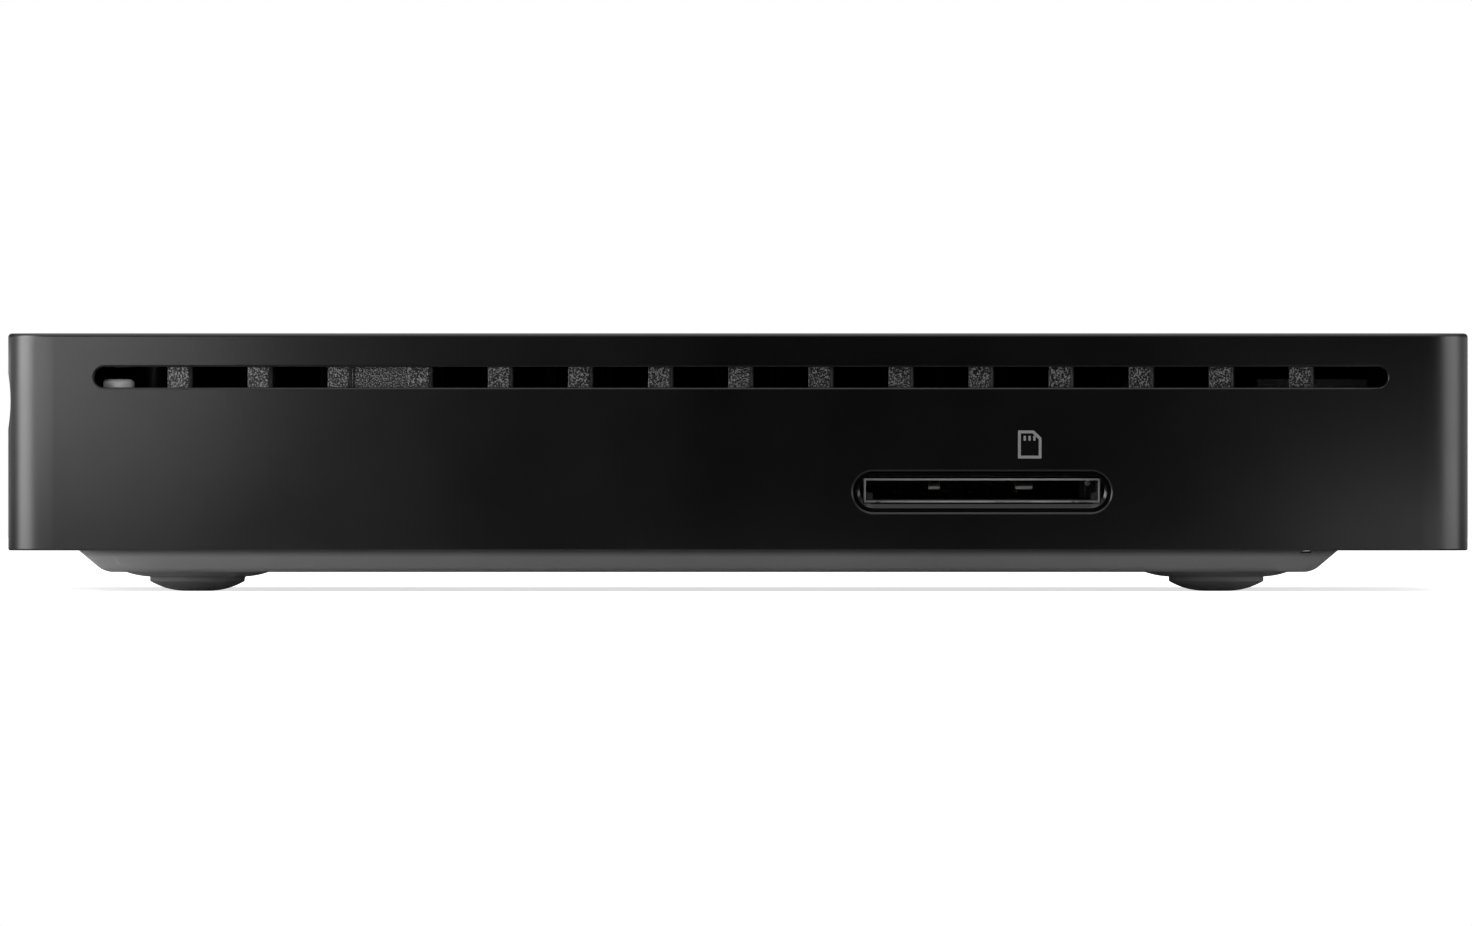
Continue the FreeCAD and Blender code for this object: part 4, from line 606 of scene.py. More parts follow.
materials = {
    # Moulded ABS from a finely eroded tool: near-black and satin, lamps show as wide soft patches
    "cover_plastic": moulded("abs_satin_black", "#010102", "#020203", 0.36, 0.2, 0.004, speckle=0.15),
    # Moulded ABS, grey and more matt, so that it spreads the light that the floor sends back
    "base_plastic": moulded("abs_matt_grey", "#8d8d8e", "#939394", 0.5, 0.25, 0.006),
    # Nylon with glass fibre, from a coarsely etched tool: pips of about 0.15 mm, dark hollows between them
    "grille_plastic": cast_grain("glass_filled_nylon", "#050506", "#6a6a6c", 0.5, 0.15, 0.05),
    # Moulded ABS, a shade lighter and more matt than the cover
    "panel_plastic": moulded("abs_eroded_black", "#121213", "#161617", 0.5, 0.25, 0.01),
    # Polished polycarbonate: black glass with sharp reflections
    "bezel_plastic": moulded(
        "polycarbonate_gloss_black", "#060607", "#080809", 0.2, 0.3, 0.001, Specular_IOR_Level=0.3),
    # Moulded silicone rubber: dull dark grey that dust clings to
    "foot_rubber": moulded("silicone_rubber_grey", "#6a6a6b", "#747475", 0.75, 0.35, 0.01),
    # Turned brass: warm yellow with fine rings from the lathe
    "insert_brass": metal("turned_brass", "#b48a45", "#c79c55", 0.3, 0.25, (1, 1, 8)),
    # Zinc-plated steel: bright but dull, slightly blue, faintly clouded
    "screw_steel": metal("zinc_plated_steel", "#e6e6e8", "#f0f0f1", 0.55, 0.3, pure=0.15),
    # Infrared-pass polycarbonate: deep wine black with a mirror skin
    "window_plastic": moulded("infrared_polycarbonate", "#0a0405", "#0e0506", 0.07, 0.5, 0.0005),
    # Moulded ABS, satin, rubbed a little smoother by fingers
    "button_plastic": moulded("abs_button_black", "#111112", "#171718", 0.3, 0.3, 0.003),
    "board_laminate": circuit_laminate(),
    # Epoxy moulding compound: dark warm grey with a fine sandy skin
    "chip_epoxy": moulded("epoxy_moulding", "#1c1b1a", "#242322", 0.6, 0.12, 0.01),
    # Nickel-plated copper: dull silver with a warm cast
    "spreader_metal": metal("nickel_plated_copper", "#a5a39d", "#b9b7b0", 0.35, 0.2),
    # Extruded aluminium, anodised black: dark, with lines along the fins
    "sink_aluminium": metal("anodised_aluminium_black", "#1b1c1e", "#26282a", 0.45, 0.2, (6, 1, 6)),
    # Open-cell polyurethane foam: black and dull, its skin broken into cells of about 0.5 mm
    "filter_foam": moulded("polyurethane_foam_black", "#0f0f10", "#242426", 0.9, 0.5, 0.2, speckle=0.8),
    # Filled silicone gap pad: soft pale blue, dull
    "gap_pad": moulded("filled_silicone", "#8fa3b3", "#9cb0bf", 0.85, 0.3, 0.02),
    # Matt tin-plated steel sheet: cool silver that spreads the light, lightly stained
    "sheet_steel": metal("tin_plated_steel", "#b6b8ba", "#c9cbcd", 0.5, 0.3, (1, 5, 1), pure=0.35),
    # Pressed ferrite: dark grey with a sintered grain
    "ferrite": moulded("sintered_ferrite", "#2a2b2d", "#38393b", 0.65, 0.2, 0.03),
    # Drawn aluminium can: bright and smooth
    "can_aluminium": metal("drawn_aluminium", "#c0c2c5", "#d0d2d4", 0.25, 0.2, (1, 1, 6)),
    # Nickel-plated steel: a polished cell case
    "cell_steel": metal("nickel_plated_steel", "#b5b4b0", "#c9c8c4", 0.22, 0.2),
    # Nylon: black with a slight gloss
    "holder_plastic": moulded("nylon_holder_black", "#161617", "#1e1e1f", 0.45, 0.3, 0.008),
    # Nickel-plated brass shell of a socket: silver with a faint warm cast
    "socket_steel": metal("nickel_plated_brass", "#bdbcb8", "#cfceca", 0.35, 0.25, (5, 1, 1), pure=0.5),
    # Liquid-crystal polymer: near-black, matt, with fine flow marks
    "socket_plastic": moulded("liquid_crystal_polymer", "#2c2c2d", "#373738", 0.5, 0.2, 0.01, mottle=4.0),
    # Gold flash over nickel: pale gold, smooth
    "contact_gold": metal("gold_flash", "#c9a04c", "#d8b25e", 0.22, 0.2, (1, 6, 1)),
    # Hard-drawn spring steel: bright grey, drawn lines
    "spring_steel": metal("drawn_spring_steel", "#aeb0b3", "#c0c2c5", 0.35, 0.1, pure=0.6),
    # Liquid-crystal polymer, moulded grey-black
    "slider_plastic": moulded("polymer_slider_grey", "#48494b", "#545557", 0.45, 0.2, 0.01, mottle=4.0),
    # Clear light pipe over a green diode, unlit: milky yellow-green
    "light_plastic": moulded("light_pipe_polycarbonate", "#9fb262", "#b0c06e", 0.2, 0.4, 0.002),
    # Nylon switch case: black, slightly shiny
    "switch_plastic": moulded("nylon_black", "#161617", "#1e1e1f", 0.4, 0.2, 0.008),
    # Acetal plunger: dark red, waxy
    "plunger_plastic": moulded("acetal_dark_red", "#721b1e", "#862326", 0.4, 0.3, 0.004),
    # Polyester ribbon: white film, satin
    "ribbon_film": moulded("polyester_film", "#dedbd0", "#e8e5dc", 0.35, 0.5, 0.004),
    # Moulded nylon of the power inlet: black, half matt
    "inlet_plastic": moulded("nylon_inlet_black", "#131314", "#1a1a1b", 0.42, 0.2, 0.008),
    # Coloured nylon of the three round sockets: muted tints, half matt
    "jack_green": moulded("nylon_lime", "#678f61", "#73a06c", 0.4, 0.3, 0.006),
    "jack_pink": moulded("nylon_pink", "#ab6787", "#bb7795", 0.4, 0.3, 0.006),
    "jack_blue": moulded("nylon_blue", "#5c7ea5", "#6a8db3", 0.4, 0.3, 0.006),
    # Screen-printed ink: flat light grey, dull
    "sign_ink": moulded("screen_ink_grey", "#686868", "#6e6e6e", 0.6, 0.2, 0.004),
}


# Painted shade on the base, darker towards the cover above it
paint_joint_shade(materials["base_plastic"], *PAINTED_JOINT_SHADE)


def paint_nodes():
    """Gives every CAD node the material of its slot."""
    for node, slot in slot_of.items():
        frame["nodes"][node].material_slots[0].material = materials[slot]


# Cover

def vent_box(node):
    """The ventilation slot in front of a grille: x0, x1, z0, z1."""
    low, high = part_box(node)
    z0 = low.z + GRILLE_BORDER
    return low.x + GRILLE_BORDER, high.x - GRILLE_BORDER, z0, z0 + VENT_HEIGHT


def card_slot_box():
    """The card slot round its bezel ring: x0, x1, z0, z1."""
    low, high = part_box("card_slot_bezel")
    border = BEZEL_BORDER - BEZEL_GAP
    return low.x + border, high.x - border, low.z + border, high.z - border


def make_cover():
    """The cap: lid and four walls, with its slots, rear opening, hollow front face and posts."""
    low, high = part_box("top_cover")
    cover = start_block("cover_shell", low, high)
    edit(cover, "EDGE", along(Z), bevel(CORNER_RADIUS, 18))
    edit(cover, "EDGE", at(2, high.z), bevel(TOP_EDGE, 4))
    edit(cover, "EDGE", at(2, low.z), bevel(LOWER_EDGE, 2))
    rise = high.z - WALL - low.z
    edit(cover, "FACE", every(facing(-Z), at(2, low.z)), inset(WALL - LOWER_EDGE), extrude(Z * rise))

    hollow_z = sum(corner.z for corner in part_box("power_button")) / 2
    axis_x = low.x - HOLLOW_RADIUS + HOLLOW_DEPTH
    cutters = [start_round(
        "hollow", (axis_x, low.y - WALL, hollow_z), (axis_x, high.y + WALL, hollow_z), HOLLOW_RADIUS, 256)]
    for node in ("vent_grille_card_side", "vent_grille_far_side"):
        seat_low, seat_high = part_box(node)
        room = Vector((FIT_GAP, 0, FIT_GAP))
        cutters.append(start_block("grille_seat", seat_low - room, seat_high + room))
        x0, x1, z0, z1 = vent_box(node)
        side = math.copysign(1, seat_low.y)
        ends = sorted([side * (high.y - 2 * WALL), side * (high.y + WALL)])
        cutters.append(start_slot("vent", (x0, ends[0], z0), (x1, ends[1], z1), Y))
    x0, x1, z0, z1 = card_slot_box()
    cutters.append(start_slot("card_slot", (x0, low.y - WALL, z0), (x1, low.y + 2 * WALL, z1), Y))
    panel_low, panel_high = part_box("rear_panel")
    half = panel_high.y - PANEL_LAP
    top = high.z - WALL - PANEL_LAP
    cutters.append(start_block(
        "rear_opening", (high.x - 2 * WALL, -half, low.z - WALL), (high.x + WALL, half, top)))
    half = WINDOW_LENGTH / 2
    rise = WINDOW_HEIGHT / 2
    cutters.append(start_slot(
        "window", (low.x - WALL, -half, hollow_z - rise), (low.x + 2 * WALL, half, hollow_z + rise), X))
    button_y = sum(corner.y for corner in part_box("power_button")) / 2
    cutters.append(start_round(
        "button_hole", (low.x - WALL, button_y, hollow_z), (low.x + 2 * WALL, button_y, hollow_z),
        BUTTON_RADIUS + BUTTON_GAP))
    ceiling_z = high.z - WALL
    posts = []
    for lowest, highest in solids_of("base_screws"):
        spot = (lowest + highest) / 2
        foot_z = lowest.z + BASE_HEAD + WELL_ROOF
        top_z = ceiling_z + WALL / 2
        posts.append(start_round("post", (spot.x, spot.y, foot_z), (spot.x, spot.y, top_z), POST_RADIUS))
        deep_z = highest.z + PILOT_SPARE
        cutters.append(start_round(
            "pilot", (spot.x, spot.y, foot_z - WALL), (spot.x, spot.y, deep_z), BASE_SHANK))
    for lowest, highest in solids_of("front_board_screws"):
        spot = (lowest + highest) / 2
        root = Vector((low.x + WALL, spot.y, spot.z))
        tip = Vector((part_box("front_board")[0].x, spot.y, spot.z))
        posts.append(start_round("boss", root - X * WALL / 2, tip, BOSS_RADIUS))
        cutters.append(start_round("pilot", root, tip + X * WALL, SMALL_SHANK))
    weld(cover, *posts)
    cut(cover, *cutters)

    for node in ("vent_grille_card_side", "vent_grille_far_side"):
        x0, x1, z0, z1 = vent_box(node)
        y = math.copysign(high.y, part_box(node)[0].y)
        round_rim(cover, (x0, y, z0), (x1, y, z1), VENT_RIM)
    x0, x1, z0, z1 = card_slot_box()
    round_rim(cover, (x0, low.y, z0), (x1, low.y, z1), CARD_RIM)
    cut(cover, *card_sign(low.y - INK_DEPTH, low.y + INK_DEPTH))
    return finish_piece(cover, materials["cover_plastic"], "cover_plastic", "top_cover", angle=30)


def round_rim(piece, low, high, width):
    """Rounds the rim of an opening in a side wall."""
    edit(piece, "EDGE", every(within(low, high), crease), bevel(width, 3))


# Vent grilles

def make_grille():
    """The ribbed frame behind the card side's ventilation slot, and its mirror image."""
    low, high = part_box("vent_grille_card_side")
    x0, x1, z0, z1 = vent_box("vent_grille_card_side")
    z0, z1 = z0 - WINDOW_MARGIN, z1 + WINDOW_MARGIN
    grille = start_block("grille_near", low, high)
    cut(grille, start_block(
        "grille_window", (x0 - WINDOW_MARGIN, low.y - WALL, z0), (x1 + WINDOW_MARGIN, high.y + WALL, z1)))
    middle = (x0 + x1) / 2
    first = middle - RIB_PITCH * (RIB_COUNT - 1) / 2
    lap = WINDOW_MARGIN
    rib = start_block(
        "rib", (first - RIB_WIDTH / 2, low.y, z0 - lap), (first + RIB_WIDTH / 2, high.y, z1 + lap))
    front_right = every(along(Z), at(0, first + RIB_WIDTH / 2), at(1, low.y))
    front_left = every(along(Z), at(0, first - RIB_WIDTH / 2), at(1, low.y))
    edit(rib, "EDGE", front_right, bevel(RIB_ROUND, 5))
    edit(rib, "EDGE", front_left, bevel(RIB_EDGE, 3))
    ribs = [copy_of(rib, "rib_copy", X * RIB_PITCH * number) for number in range(RIB_COUNT)]
    bpy.data.objects.remove(rib, do_unlink=True)
    left = first + RIB_PITCH * CLOSED_FIELD + RIB_WIDTH / 2
    right = left + RIB_PITCH - RIB_WIDTH
    field = start_block(
        "closed_field", (left - lap, low.y + FIELD_SETBACK, z0 - lap), (right + lap, high.y, z1 + lap))
    seam_back = low.y + FIELD_SETBACK + RIB_ROUND
    weld(grille, field, *ribs)
    cut(grille, start_block("seam", (left, low.y, z0), (left + FIELD_SEAM, seam_back, z1)))
    far = copy_of(grille, "grille_far", flip=(1, -1, 1))
    for piece, node in ((grille, "vent_grille_card_side"), (far, "vent_grille_far_side")):
        finish_piece(piece, materials["grille_plastic"], "grille_plastic", node)


# Card slot bezel

def make_bezel():
    """The polished ring that lines the card slot: a rounded lip, a flared throat and a flange behind."""
    low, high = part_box("card_slot_bezel")
    border = Vector((BEZEL_BORDER, 0, BEZEL_BORDER))
    wall_back = cad_box[0].y + WALL
    ring = start_slot("bezel_ring", low + border, high - border, Y, 20)
    flange = start_slot("bezel_flange", (low.x, wall_back, low.z), high, Y, 20)
    weld(ring, flange)
    shell_low, shell_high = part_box("card_connector_shell")
    window_low = Vector((shell_low.x - MOUTH_GAP, low.y, shell_high.z - MOUTH_HEIGHT - MOUTH_GAP))
    window_high = Vector((shell_low.x + MOUTH_WIDTH + MOUTH_GAP, high.y + WALL, shell_high.z + MOUTH_GAP))
    window = start_block("mouth_window", window_low, window_high)
    cut(ring, make_throat(low + border, high - border, window_low.z, window_high.z), window)
    edit(ring, "EDGE", every(at(1, low.y), crease), bevel(BEZEL_LIP_ROUND, 3))
    return finish_piece(ring, materials["bezel_plastic"], "bezel_plastic", "card_slot_bezel")


def make_throat(low, high, window_low_z, window_high_z):
    """The cutter for the bezel's throat. It flares from the mouth's height out to the lip."""
    wall = Vector((BEZEL_LIP_WALL, 0, BEZEL_LIP_WALL))
    lip_low, lip_high = low + wall, high - wall
    lip_y = low.y
    throat_y = lip_y + BEZEL_FLARE_DEPTH
    throat = start_slot("throat", lip_low - Y * WALL, Vector((lip_high.x, lip_y, lip_high.z)), Y, 20)
    share = (window_high_z - window_low_z + 2 * BEZEL_MOUTH_BORDER) / (lip_high.z - lip_low.z)
    middle = (lip_low + lip_high) / 2
    rise = (window_low_z + window_high_z) / 2 - middle.z
    edit(throat, "FACE", every(facing(Y), at(1, lip_y)),
         extrude(Y * BEZEL_FLARE_DEPTH), resize((share, 1, share), middle), move(Z * rise))
    half = (lip_high.x - lip_low.x) / 2
    spread = half * (1 - share) - BEZEL_FLARE_WIDTH
    for side in (-1, 1):
        end = every(at(1, throat_y), lambda corner: (corner.co.x - middle.x) * side > 0)
        edit(throat, "VERT", end, move(X * side * spread))
    run = high.y - BEZEL_WEB - throat_y
    return edit(throat, "FACE", every(facing(Y), at(1, throat_y)), extrude(Y * run))


# Base

def middle_of(node):
    """The middle of a CAD node's box."""
    low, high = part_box(node)
    return (low + high) / 2


def dish(name, drawn_in, low_z, high_z):
    """The base's dished form: sloped sides down to low_z, and upright sides above high_z."""
    low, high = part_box("top_cover")
    run = (low.z - high_z) * DISH_SLOPE + drawn_in
    side = low.y + DISH_SIDE + run
    piece = start_block(
        name, (low.x + DISH_FRONT + run, side, high_z), (high.x - DISH_REAR - run, -side, high_z + PLATE))
    edit(piece, "EDGE", along(Z), bevel(DISH_CORNER - run, 12))
    fall = high_z - low_z
    return edit(piece, "FACE", facing(-Z), inset(fall * DISH_SLOPE, fall))


def make_base():
    """The dished plate that closes the case, with pads, recesses, air slots, bosses and posts."""
    low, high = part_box("top_cover")
    feet = [node for node in frame["nodes"] if node.startswith("foot_")]
    foot_middles = [middle_of(node) for node in feet]
    pad_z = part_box(feet[0])[1].z - FOOT_SEAT
    under_z = pad_z + PAD_HEIGHT
    flange_z = low.z + FLANGE_RISE
    base = dish("base_dish", 0, under_z, flange_z)
    turn = math.atan(1 / DISH_SLOPE)
    edit(base, "EDGE", at(2, under_z), bevel(DISH_EDGE * math.tan(turn / 2), 8))

    reach = high.x - WALL - FIT_GAP
    flange = start_block("flange", (-reach, -reach, flange_z), (reach, reach, flange_z + PLATE))
    edit(flange, "EDGE", along(Z), bevel(CORNER_RADIUS - WALL - FIT_GAP, 6))
    tongue_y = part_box("rear_panel")[1].y - PANEL_LAP - FIT_GAP
    tongue = start_block(
        "tongue", (reach - 2 * WALL, -tongue_y, flange_z),
        (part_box("base_plate")[1].x, tongue_y, flange_z + PLATE))
    pads = []
    for spot in foot_middles:
        top_z = under_z + PLATE / 2
        pad = start_round("pad", (spot.x, spot.y, under_z), (spot.x, spot.y, top_z), PAD_RADIUS, 96)
        steps = dome_steps(PAD_RADIUS, PAD_RADIUS - PAD_DOME, PAD_HEIGHT)
        pads.append(edit(pad, "FACE", facing(-Z), *steps))
    weld(base, flange, tongue, *pads)
    side_wall = PLATE * math.hypot(1, DISH_SLOPE)
    cut(base, dish("base_hollow", side_wall, under_z + PLATE, flange_z + 2 * PLATE))

    posts = []
    holes = []
    for lowest, highest in solids_of("base_screws"):
        spot = (lowest + highest) / 2
        start_z = lowest.z - BASE_SINK
        seat_z = lowest.z + BASE_HEAD
        posts.append((spot, start_z, seat_z + WELL_ROOF, WELL_RADIUS + WELL_WALL))
        holes.append((spot, start_z - PLATE, seat_z, WELL_RADIUS))
        holes.append((spot, start_z, highest.z, BASE_SHANK + FIT_GAP))
    for lowest, highest in solids_of("mount_inserts"):
        spot = (lowest + highest) / 2
        radius = (highest.x - lowest.x) / 2
        posts.append((spot, under_z, highest.z + INSERT_ROOF, radius + INSERT_WALL))
        holes.append((spot, under_z - PLATE, highest.z, radius))
    sink_and_board = (("heat_sink_screws", SINK_POST, SINK_PLATE), ("board_screws", STANDOFF, BOARD))
    for node, radius, drop in sink_and_board:
        for lowest, highest in solids_of(node):
            spot = (lowest + highest) / 2
            top = highest.z - SMALL_HEAD - drop
            posts.append((spot, under_z, top, radius))
            holes.append((spot, lowest.z - FIT_GAP, top + PLATE, SMALL_SHANK))
    for spot in foot_middles:
        holes.append((spot, pad_z - PLATE, pad_z + FOOT_SEAT, FOOT_RADIUS + FOOT_GAP))
    room = dish("room", 0, under_z + FIT_GAP, flange_z)
    weld(room, start_block("above", (-reach, -reach, flange_z), (reach, reach, high.z)))
    bars = joined("posts", [
        start_round("post", (spot.x, spot.y, z0), (spot.x, spot.y, z1), radius, 48)
        for spot, z0, z1, radius in posts])
    weld(base, combine(bars, [room], "INTERSECT"))
    cut(base, *[
        start_round("hole", (spot.x, spot.y, z0), (spot.x, spot.y, z1), radius, 48)
        for spot, z0, z1, radius in holes])

    middle_x = (low.x + DISH_FRONT + high.x - DISH_REAR) / 2
    slot_size = Vector((AIR_SLOT_WIDTH, AIR_SLOT_LENGTH, 4 * PLATE)) / 2
    slots = []
    for side in (-1, 1):
        for number in range(AIR_SLOT_COUNT):
            x = middle_x + (number - (AIR_SLOT_COUNT - 1) / 2) * AIR_SLOT_PITCH
            middle = Vector((x, side * AIR_SLOT_ROW, under_z))
            slots.append(start_slot("air_slot", middle - slot_size, middle + slot_size, Z, 8))
    half = Vector((LABEL_LENGTH, LABEL_WIDTH, 2 * LABEL_DEPTH)) / 2
    middle = Vector((middle_x, 0, under_z))
    label = start_block("label_field", middle - half, middle + half)
    edit(label, "EDGE", along(Z), bevel(LABEL_CORNER, 6))
    cut(base, label, *slots)
    rims = every(at(2, under_z), crease)
    edit(base, "EDGE", rims, bevel(RIM_EDGE, 2))
    return finish_piece(base, materials["base_plastic"], "base_plastic", "base_plate", angle=30)


def make_feet():
    """The four rubber feet: a short round side, then a shallow dome with a small flat."""
    nodes = [node for node in frame["nodes"] if node.startswith("foot_")]
    low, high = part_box(nodes[0])
    middle = (low + high) / 2
    radius = (high.x - low.x) / 2
    rise = high.z - FOOT_SEAT - FOOT_SIDE
    foot = start_round("foot", (middle.x, middle.y, rise), (middle.x, middle.y, high.z), radius, 96)
    edit(foot, "FACE", facing(-Z), *dome_steps(radius, FOOT_FLAT, rise))
    edit(foot, "EDGE", every(at(2, rise), crease), bevel(FOOT_EDGE, 3))
    for node in nodes:
        piece = copy_of(foot, "rubber_" + node, middle_of(node) - middle)
        finish_piece(piece, materials["foot_rubber"], "foot_rubber", node)
    bpy.data.objects.remove(foot, do_unlink=True)


# Screws

def make_screw(name, head_radius, head_height, shank_radius, shank_length):
    """A pan-head screw that stands on the origin, its seat at height 0, with a cross recess."""
    screw = start_round(name, (0, 0, 0), (0, 0, head_height), head_radius, 48)
    edit(screw, "EDGE", at(2, head_height), bevel(HEAD_DOME, 6))
    edit(screw, "FACE", facing(-Z), inset(head_radius - shank_radius), extrude(-Z * shank_length))
    edit(screw, "EDGE", at(2, -shank_length), bevel(shank_radius * 0.3, 2))
    long = CROSS_LENGTH / 2
    short = CROSS_WIDTH / 2
    depth = head_height - CROSS_DEPTH
    arms = []
    for half_x, half_y in ((long, short), (short, long)):
        arm = start_block("arm", (-half_x, -half_y, depth), (half_x, half_y, head_height + WALL))
        edit(arm, "FACE", facing(-Z), resize((0.6, 0.6, 1), (0, 0, depth)))
        arms.append(arm)
    cut(screw, *arms)
    return screw


def place_screws(node, slot, sizes, turn=(0, 0, 0), outward=Z):
    """Copies of one screw in the place of a node's separate solids."""
    screw = make_screw("screw", *sizes)
    head_height = sizes[1]
    copies = []
    for low, high in solids_of(node):
        seat = (low + high) / 2
        for axis in range(3):
            if outward[axis] > 0.5:
                seat[axis] = high[axis] - head_height
            if outward[axis] < -0.5:
                seat[axis] = low[axis] + head_height
        copies.append(copy_of(screw, "screw_copy", seat, turn=turn))
    bpy.data.objects.remove(screw, do_unlink=True)
    return finish_piece(joined(node + "_group", copies), materials[slot], slot, node)


# Front controls

def make_button():
    """The power button: a flange behind the wall, a round cap with a dished face and a fine ring."""
    low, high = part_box("power_button")
    y, z = (low.y + high.y) / 2, (low.z + high.z) / 2
    flange = (high.y - low.y) / 2
    wall_x = cad_box[0].x + WALL
    cap = start_round("power_cap", (wall_x, y, z), (high.x, y, z), flange, 64)
    edit(cap, "FACE", facing(-X), inset(flange - BUTTON_RADIUS), extrude(X * (low.x - wall_x)))
    edit(cap, "EDGE", at(0, low.x), bevel(BUTTON_EDGE, 4))
    face_steps = (
        inset(BUTTON_RIM), inset(BUTTON_RING, -BUTTON_RING_DEPTH),
        inset(BUTTON_DISH, -BUTTON_DISH_DEPTH), inset(BUTTON_EYE, -BUTTON_EYE_DEPTH))
    edit(cap, "FACE", every(facing(-X), at(0, low.x)), *face_steps)
    return finish_piece(
        cap, materials["button_plastic"], "button_plastic", "power_button", body="button", angle=50)


# Card connector

def make_slider_pin():
    """The small round-headed steel pin in the hook of the card slider."""
    low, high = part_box("card_slider")
    spot = Vector((low.x + PIN_INSET, low.y, PIN_Z))
    pin = start_round("slider_pin", spot + Y * PIN_LENGTH, spot - Y * PIN_HEAD, PIN_RADIUS, 32)
    edit(pin, "EDGE", at(1, spot.y - PIN_HEAD), bevel(PIN_HEAD, 5))
    return finish_piece(pin, materials["spring_steel"], "spring_steel", body="card_carriage", angle=60)


# Sockets and other pieces that keep their worked-out shape and get softened edges
SOFT_EDGES = {
    "rear_panel": 0.15, "dc_inlet_body": 0.15, "dc_inlet_pin": 0.1, "lan_jack_shell": 0.06,
    "lan_jack_body": 0.08, "lan_jack_contacts": 0.04, "lan_jack_lights": 0.1, "usb_shell": 0.08,
    "usb_body": 0.08, "usb_contacts": 0.03, "video_socket_1_shell": 0.1, "video_socket_1_body": 0.08,
    "video_socket_2_shell": 0.1, "video_socket_2_body": 0.08, "video_contacts": 0.03,
    "round_jack_1": 0.12, "round_jack_2": 0.12, "round_jack_3": 0.12, "ir_window": 0.12,
    "card_connector_shell": 0.06, "card_connector_base": 0.04, "card_contacts": 0.03,
    "card_slider": 0.05, "mount_inserts": 0.12, "heat_sink": 0.15, "shield_can": 0.15,
    "processor": 0.12, "memory_chips": 0.1, "storage_chip": 0.1, "power_inductors": 0.3,
    "capacitors": 0.25, "coin_cell": 0.2, "coin_cell_holder": 0.15, "main_board": 0.1,
    "dust_filter": 0.2,
}


def soften_nodes():
    """Puts copies with softened edges in the place of CAD nodes."""
    bodies = frame["record"]["behaviour"]["bodies"]
    body_of = {node: body for body, nodes in bodies.items() for node in nodes}
    for node, edge in SOFT_EDGES.items():
        slot = slot_of[node]
        piece = from_node(node, node + "_soft", edge * MM)
        finish_piece(piece, materials[slot], slot, node, body=body_of[node])


# Print on the card side

def card_sign(front, back):
    """The parts of a plain card outline with a cut corner and three contact strips, between two planes."""
    x0, z0 = SIGN_X, SIGN_Z
    x1, z1 = x0 + SIGN_WIDTH, z0 + SIGN_HEIGHT
    line = SIGN_LINE
    card = start_block("card_outline", (x0, front, z0), (x1, back, z1))
    edit(card, "EDGE", every(along(Y), at(0, x1), at(2, z1)), bevel(SIGN_CORNER, 1))
    inner_low = (x0 + line, front - WALL, z0 + line)
    inner_high = (x1 - line, back + WALL, z1 - line)
    inner = start_block("inner", inner_low, inner_high)
    inner_corner = every(along(Y), at(0, inner_high[0]), at(2, inner_high[2]))
    edit(inner, "EDGE", inner_corner, bevel(SIGN_CORNER - line / 2, 1))
    cut(card, inner)
    parts = [card]
    for number in range(3):
        x = x0 + line * (STRIP_START + STRIP_PITCH * number)
        foot_z, top_z = z1 - STRIP_FOOT * line, z1 - STRIP_TOP * line
        parts.append(start_block("strip", (x, front, foot_z), (x + STRIP_WIDTH * line, back, top_z)))
    return parts


# Stage, light and camera

def make_floor():
    """A pale floor: white to the camera, under the object's shadow, and dark in gloss round the front."""
    mesh_ops.primitive_plane_add(size=FLOOR_SIZE)
    floor = bpy.context.object
    floor.name = "floor"
    material = bpy.data.materials.new("pale_floor")
    material.use_nodes = True
    tree = material.node_tree
    tree.nodes.clear()
    place = add_node(tree, "ShaderNodeTexCoord").outputs["Object"]
    parts = add_node(tree, "ShaderNodeSeparateXYZ", links={0: place})
    depth = parts.outputs["Y"]
    behind = ramp(tree, depth, 0.0, 0.3, 0.0, 1.0)
    in_front = ramp(tree, depth, *DARK_FRONT, 1.0, 0.0)
    squared = maths(tree, "MULTIPLY", parts.outputs["X"], parts.outputs["X"])
    far_out = ramp(tree, squared, *DARK_BESIDE, 0.0, 1.0)
    beside = maths(tree, "MINIMUM", far_out, ramp(tree, depth, 0.0, 0.1, 1.0, 0.0))
    path = add_node(tree, "ShaderNodeLightPath")
    near = maths(tree, "MAXIMUM", in_front, beside)
    dimmed = maths(tree, "MULTIPLY", path.outputs["Is Glossy Ray"], near)
    colour = blend(tree, dimmed, "#e4e4e4", "#000000")
    matt = add_node(tree, "ShaderNodeBsdfDiffuse", links={"Color": colour})
    strength = seen_share(tree, behind, FLOOR_GLOW)
    glow = add_node(tree, "ShaderNodeEmission", {"Color": linear("#ffffff")}, {"Strength": strength})
    both = add_node(tree, "ShaderNodeAddShader", links={0: matt.outputs[0], 1: glow.outputs[0]})
    add_node(tree, "ShaderNodeOutputMaterial", links={"Surface": both.outputs[0]})
    floor.data.materials.append(material)


def seen_share(tree, glossy_share, strength):
    """The strength for camera rays, and a share of it for glossy and transmission rays."""
    path = add_node(tree, "ShaderNodeLightPath")
    mirrored = maths(tree, "MAXIMUM", path.outputs["Is Glossy Ray"], path.outputs["Is Transmission Ray"])
    partly = maths(tree, "MULTIPLY", mirrored, glossy_share)
    seen = maths(tree, "MAXIMUM", path.outputs["Is Camera Ray"], partly)
    return ramp(tree, seen, 0.0, 1.0, 0.0, strength)


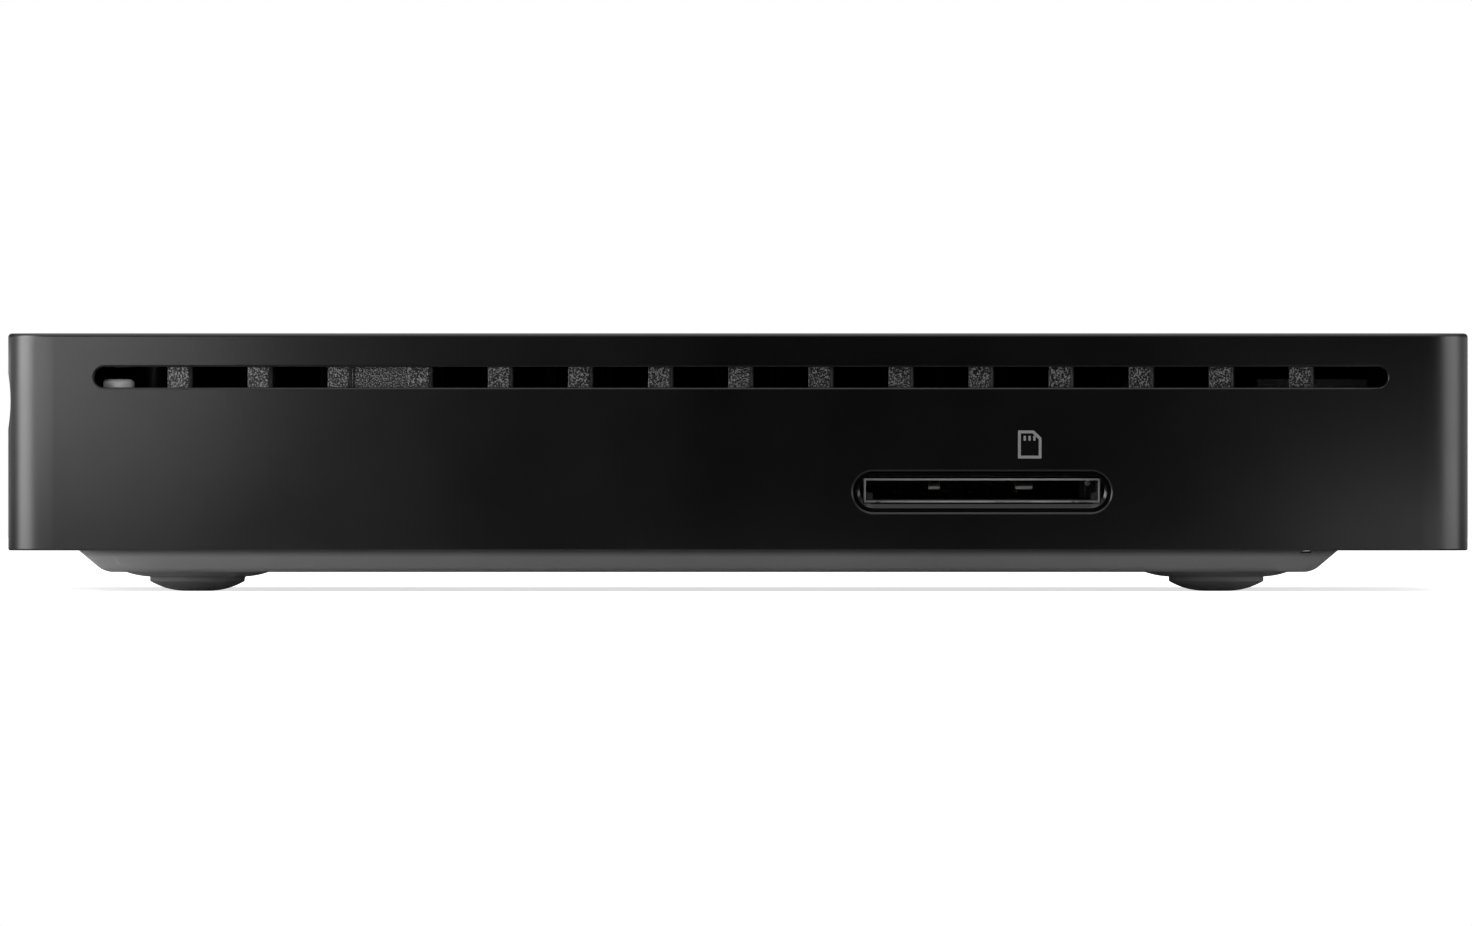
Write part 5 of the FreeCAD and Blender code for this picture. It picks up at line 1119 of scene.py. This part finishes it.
def make_world():
    """White behind the object, dim at the sides and dark in front in gloss, and even for diffuse light."""
    world = bpy.data.worlds.new("studio")
    bpy.context.scene.world = world
    world.use_nodes = True
    tree = world.node_tree
    tree.nodes.clear()
    way = add_node(tree, "ShaderNodeTexCoord").outputs["Generated"]
    parts = add_node(tree, "ShaderNodeSeparateXYZ", links={0: way})
    depth = parts.outputs["Y"]
    back = ramp(tree, depth, 0.96, 1.0, 0.0, 1.0)
    rising = ramp(tree, depth, -0.5, -0.1, 0.0, SIDE_LEVEL)
    falling = ramp(tree, depth, 0.1, 0.7, SIDE_LEVEL, REAR_SIDE_LEVEL)
    sides = maths(tree, "MINIMUM", rising, falling)
    above = ramp(tree, parts.outputs["Z"], 0.42, 0.68, 0.0, TOP_LEVEL)
    around = maths(tree, "MAXIMUM", sides, above)
    mirrored = maths(tree, "MAXIMUM", back, around)
    path = add_node(tree, "ShaderNodeLightPath")
    glossy = maths(tree, "MAXIMUM", path.outputs["Is Glossy Ray"], path.outputs["Is Transmission Ray"])
    dim = add_node(tree, "ShaderNodeMix", {"data_type": "FLOAT", 2: AMBIENT}, {0: glossy, 3: mirrored})
    seen = {0: path.outputs["Is Camera Ray"], 2: dim.outputs[0]}
    level = add_node(tree, "ShaderNodeMix", {"data_type": "FLOAT", 3: 1.0}, seen)
    light = add_node(
        tree, "ShaderNodeBackground", {"Color": linear("#ffffff")}, {"Strength": level.outputs[0]})
    add_node(tree, "ShaderNodeOutputWorld", links={"Surface": light.outputs[0]})


def lamp(name, place, aim, width, height, power):
    """A soft rectangular lamp that points at a place and isn't seen itself."""
    data = bpy.data.lights.new(name, "AREA")
    data.shape = "RECTANGLE"
    data.size = width
    data.size_y = height
    data.energy = power
    light = bpy.data.objects.new(name, data)
    bpy.context.scene.collection.objects.link(light)
    light.location = place
    light.rotation_euler = (Vector(aim) - Vector(place)).to_track_quat("-Z", "Y").to_euler()
    light.visible_camera = False


def make_lamps():
    """Soft lamps: a near and a far one on each side of the card side, and a wide one above."""
    lamp("lamp_left_front", (-0.0941, -0.140, 0.0265), (-0.06, -0.0775, 0.018), 0.0774, 0.0264, 0.0334)
    lamp("lamp_left", (-0.200, -0.1014, 0.0332), (-0.075, -0.075, 0.016), 0.0989, 0.16, 0.48)
    lamp("lamp_right", (0.200, -0.0969, 0.0), (0.075, -0.075, 0.016), 0.1099, 0.15, 0.22)
    lamp("lamp_right_front", (0.0869, -0.120, 0.0041), (0.06, -0.0775, 0.016), 0.0658, 0.0121, 0.0049)
    lamp("lamp_above", (0.0, -0.05, 0.60), (0.0, 0.0, 0.0), 0.6, 0.6, 1.5)


def make_camera():
    """The photograph's level view of the card side, from far off with a long lens."""
    data = bpy.data.cameras.new("camera")
    data.lens = LENS
    data.sensor_width = SENSOR
    distance = VIEW_WIDTH * LENS / SENSOR
    data.clip_start = 0.1
    data.clip_end = 50.0
    camera = bpy.data.objects.new("camera", data)
    bpy.context.scene.collection.objects.link(camera)
    camera.location = (VIEW_X, cad_box[0].y - distance, VIEW_Z)
    camera.rotation_euler = (math.radians(90), 0, 0)
    bpy.context.scene.camera = camera
    bpy.context.scene.view_settings.view_transform = "Standard"


paint_nodes()
make_cover()
make_grille()
make_bezel()
make_base()
make_feet()
base_screw = (BASE_HEAD_RADIUS, BASE_HEAD, BASE_SHANK, BASE_LENGTH)
small_screw = (SMALL_HEAD_RADIUS, SMALL_HEAD, SMALL_SHANK, SMALL_LENGTH)
front_low, front_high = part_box("front_board_screws")
front_screw = small_screw[:3] + (front_high.x - front_low.x - SMALL_HEAD,)
place_screws("base_screws", "screw_steel", base_screw, (math.pi, 0, 0), -Z)
place_screws("heat_sink_screws", "screw_steel", small_screw)
place_screws("board_screws", "screw_steel", small_screw)
place_screws("front_board_screws", "screw_steel", front_screw, (0, math.pi / 2, 0), X)
make_button()
make_slider_pin()
soften_nodes()
sign = joined("card_sign", card_sign(cad_box[0].y + INK_SETBACK, cad_box[0].y + INK_DEPTH))
finish_piece(sign, materials["sign_ink"], "cover_plastic")
make_floor()
make_world()
make_lamps()
make_camera()
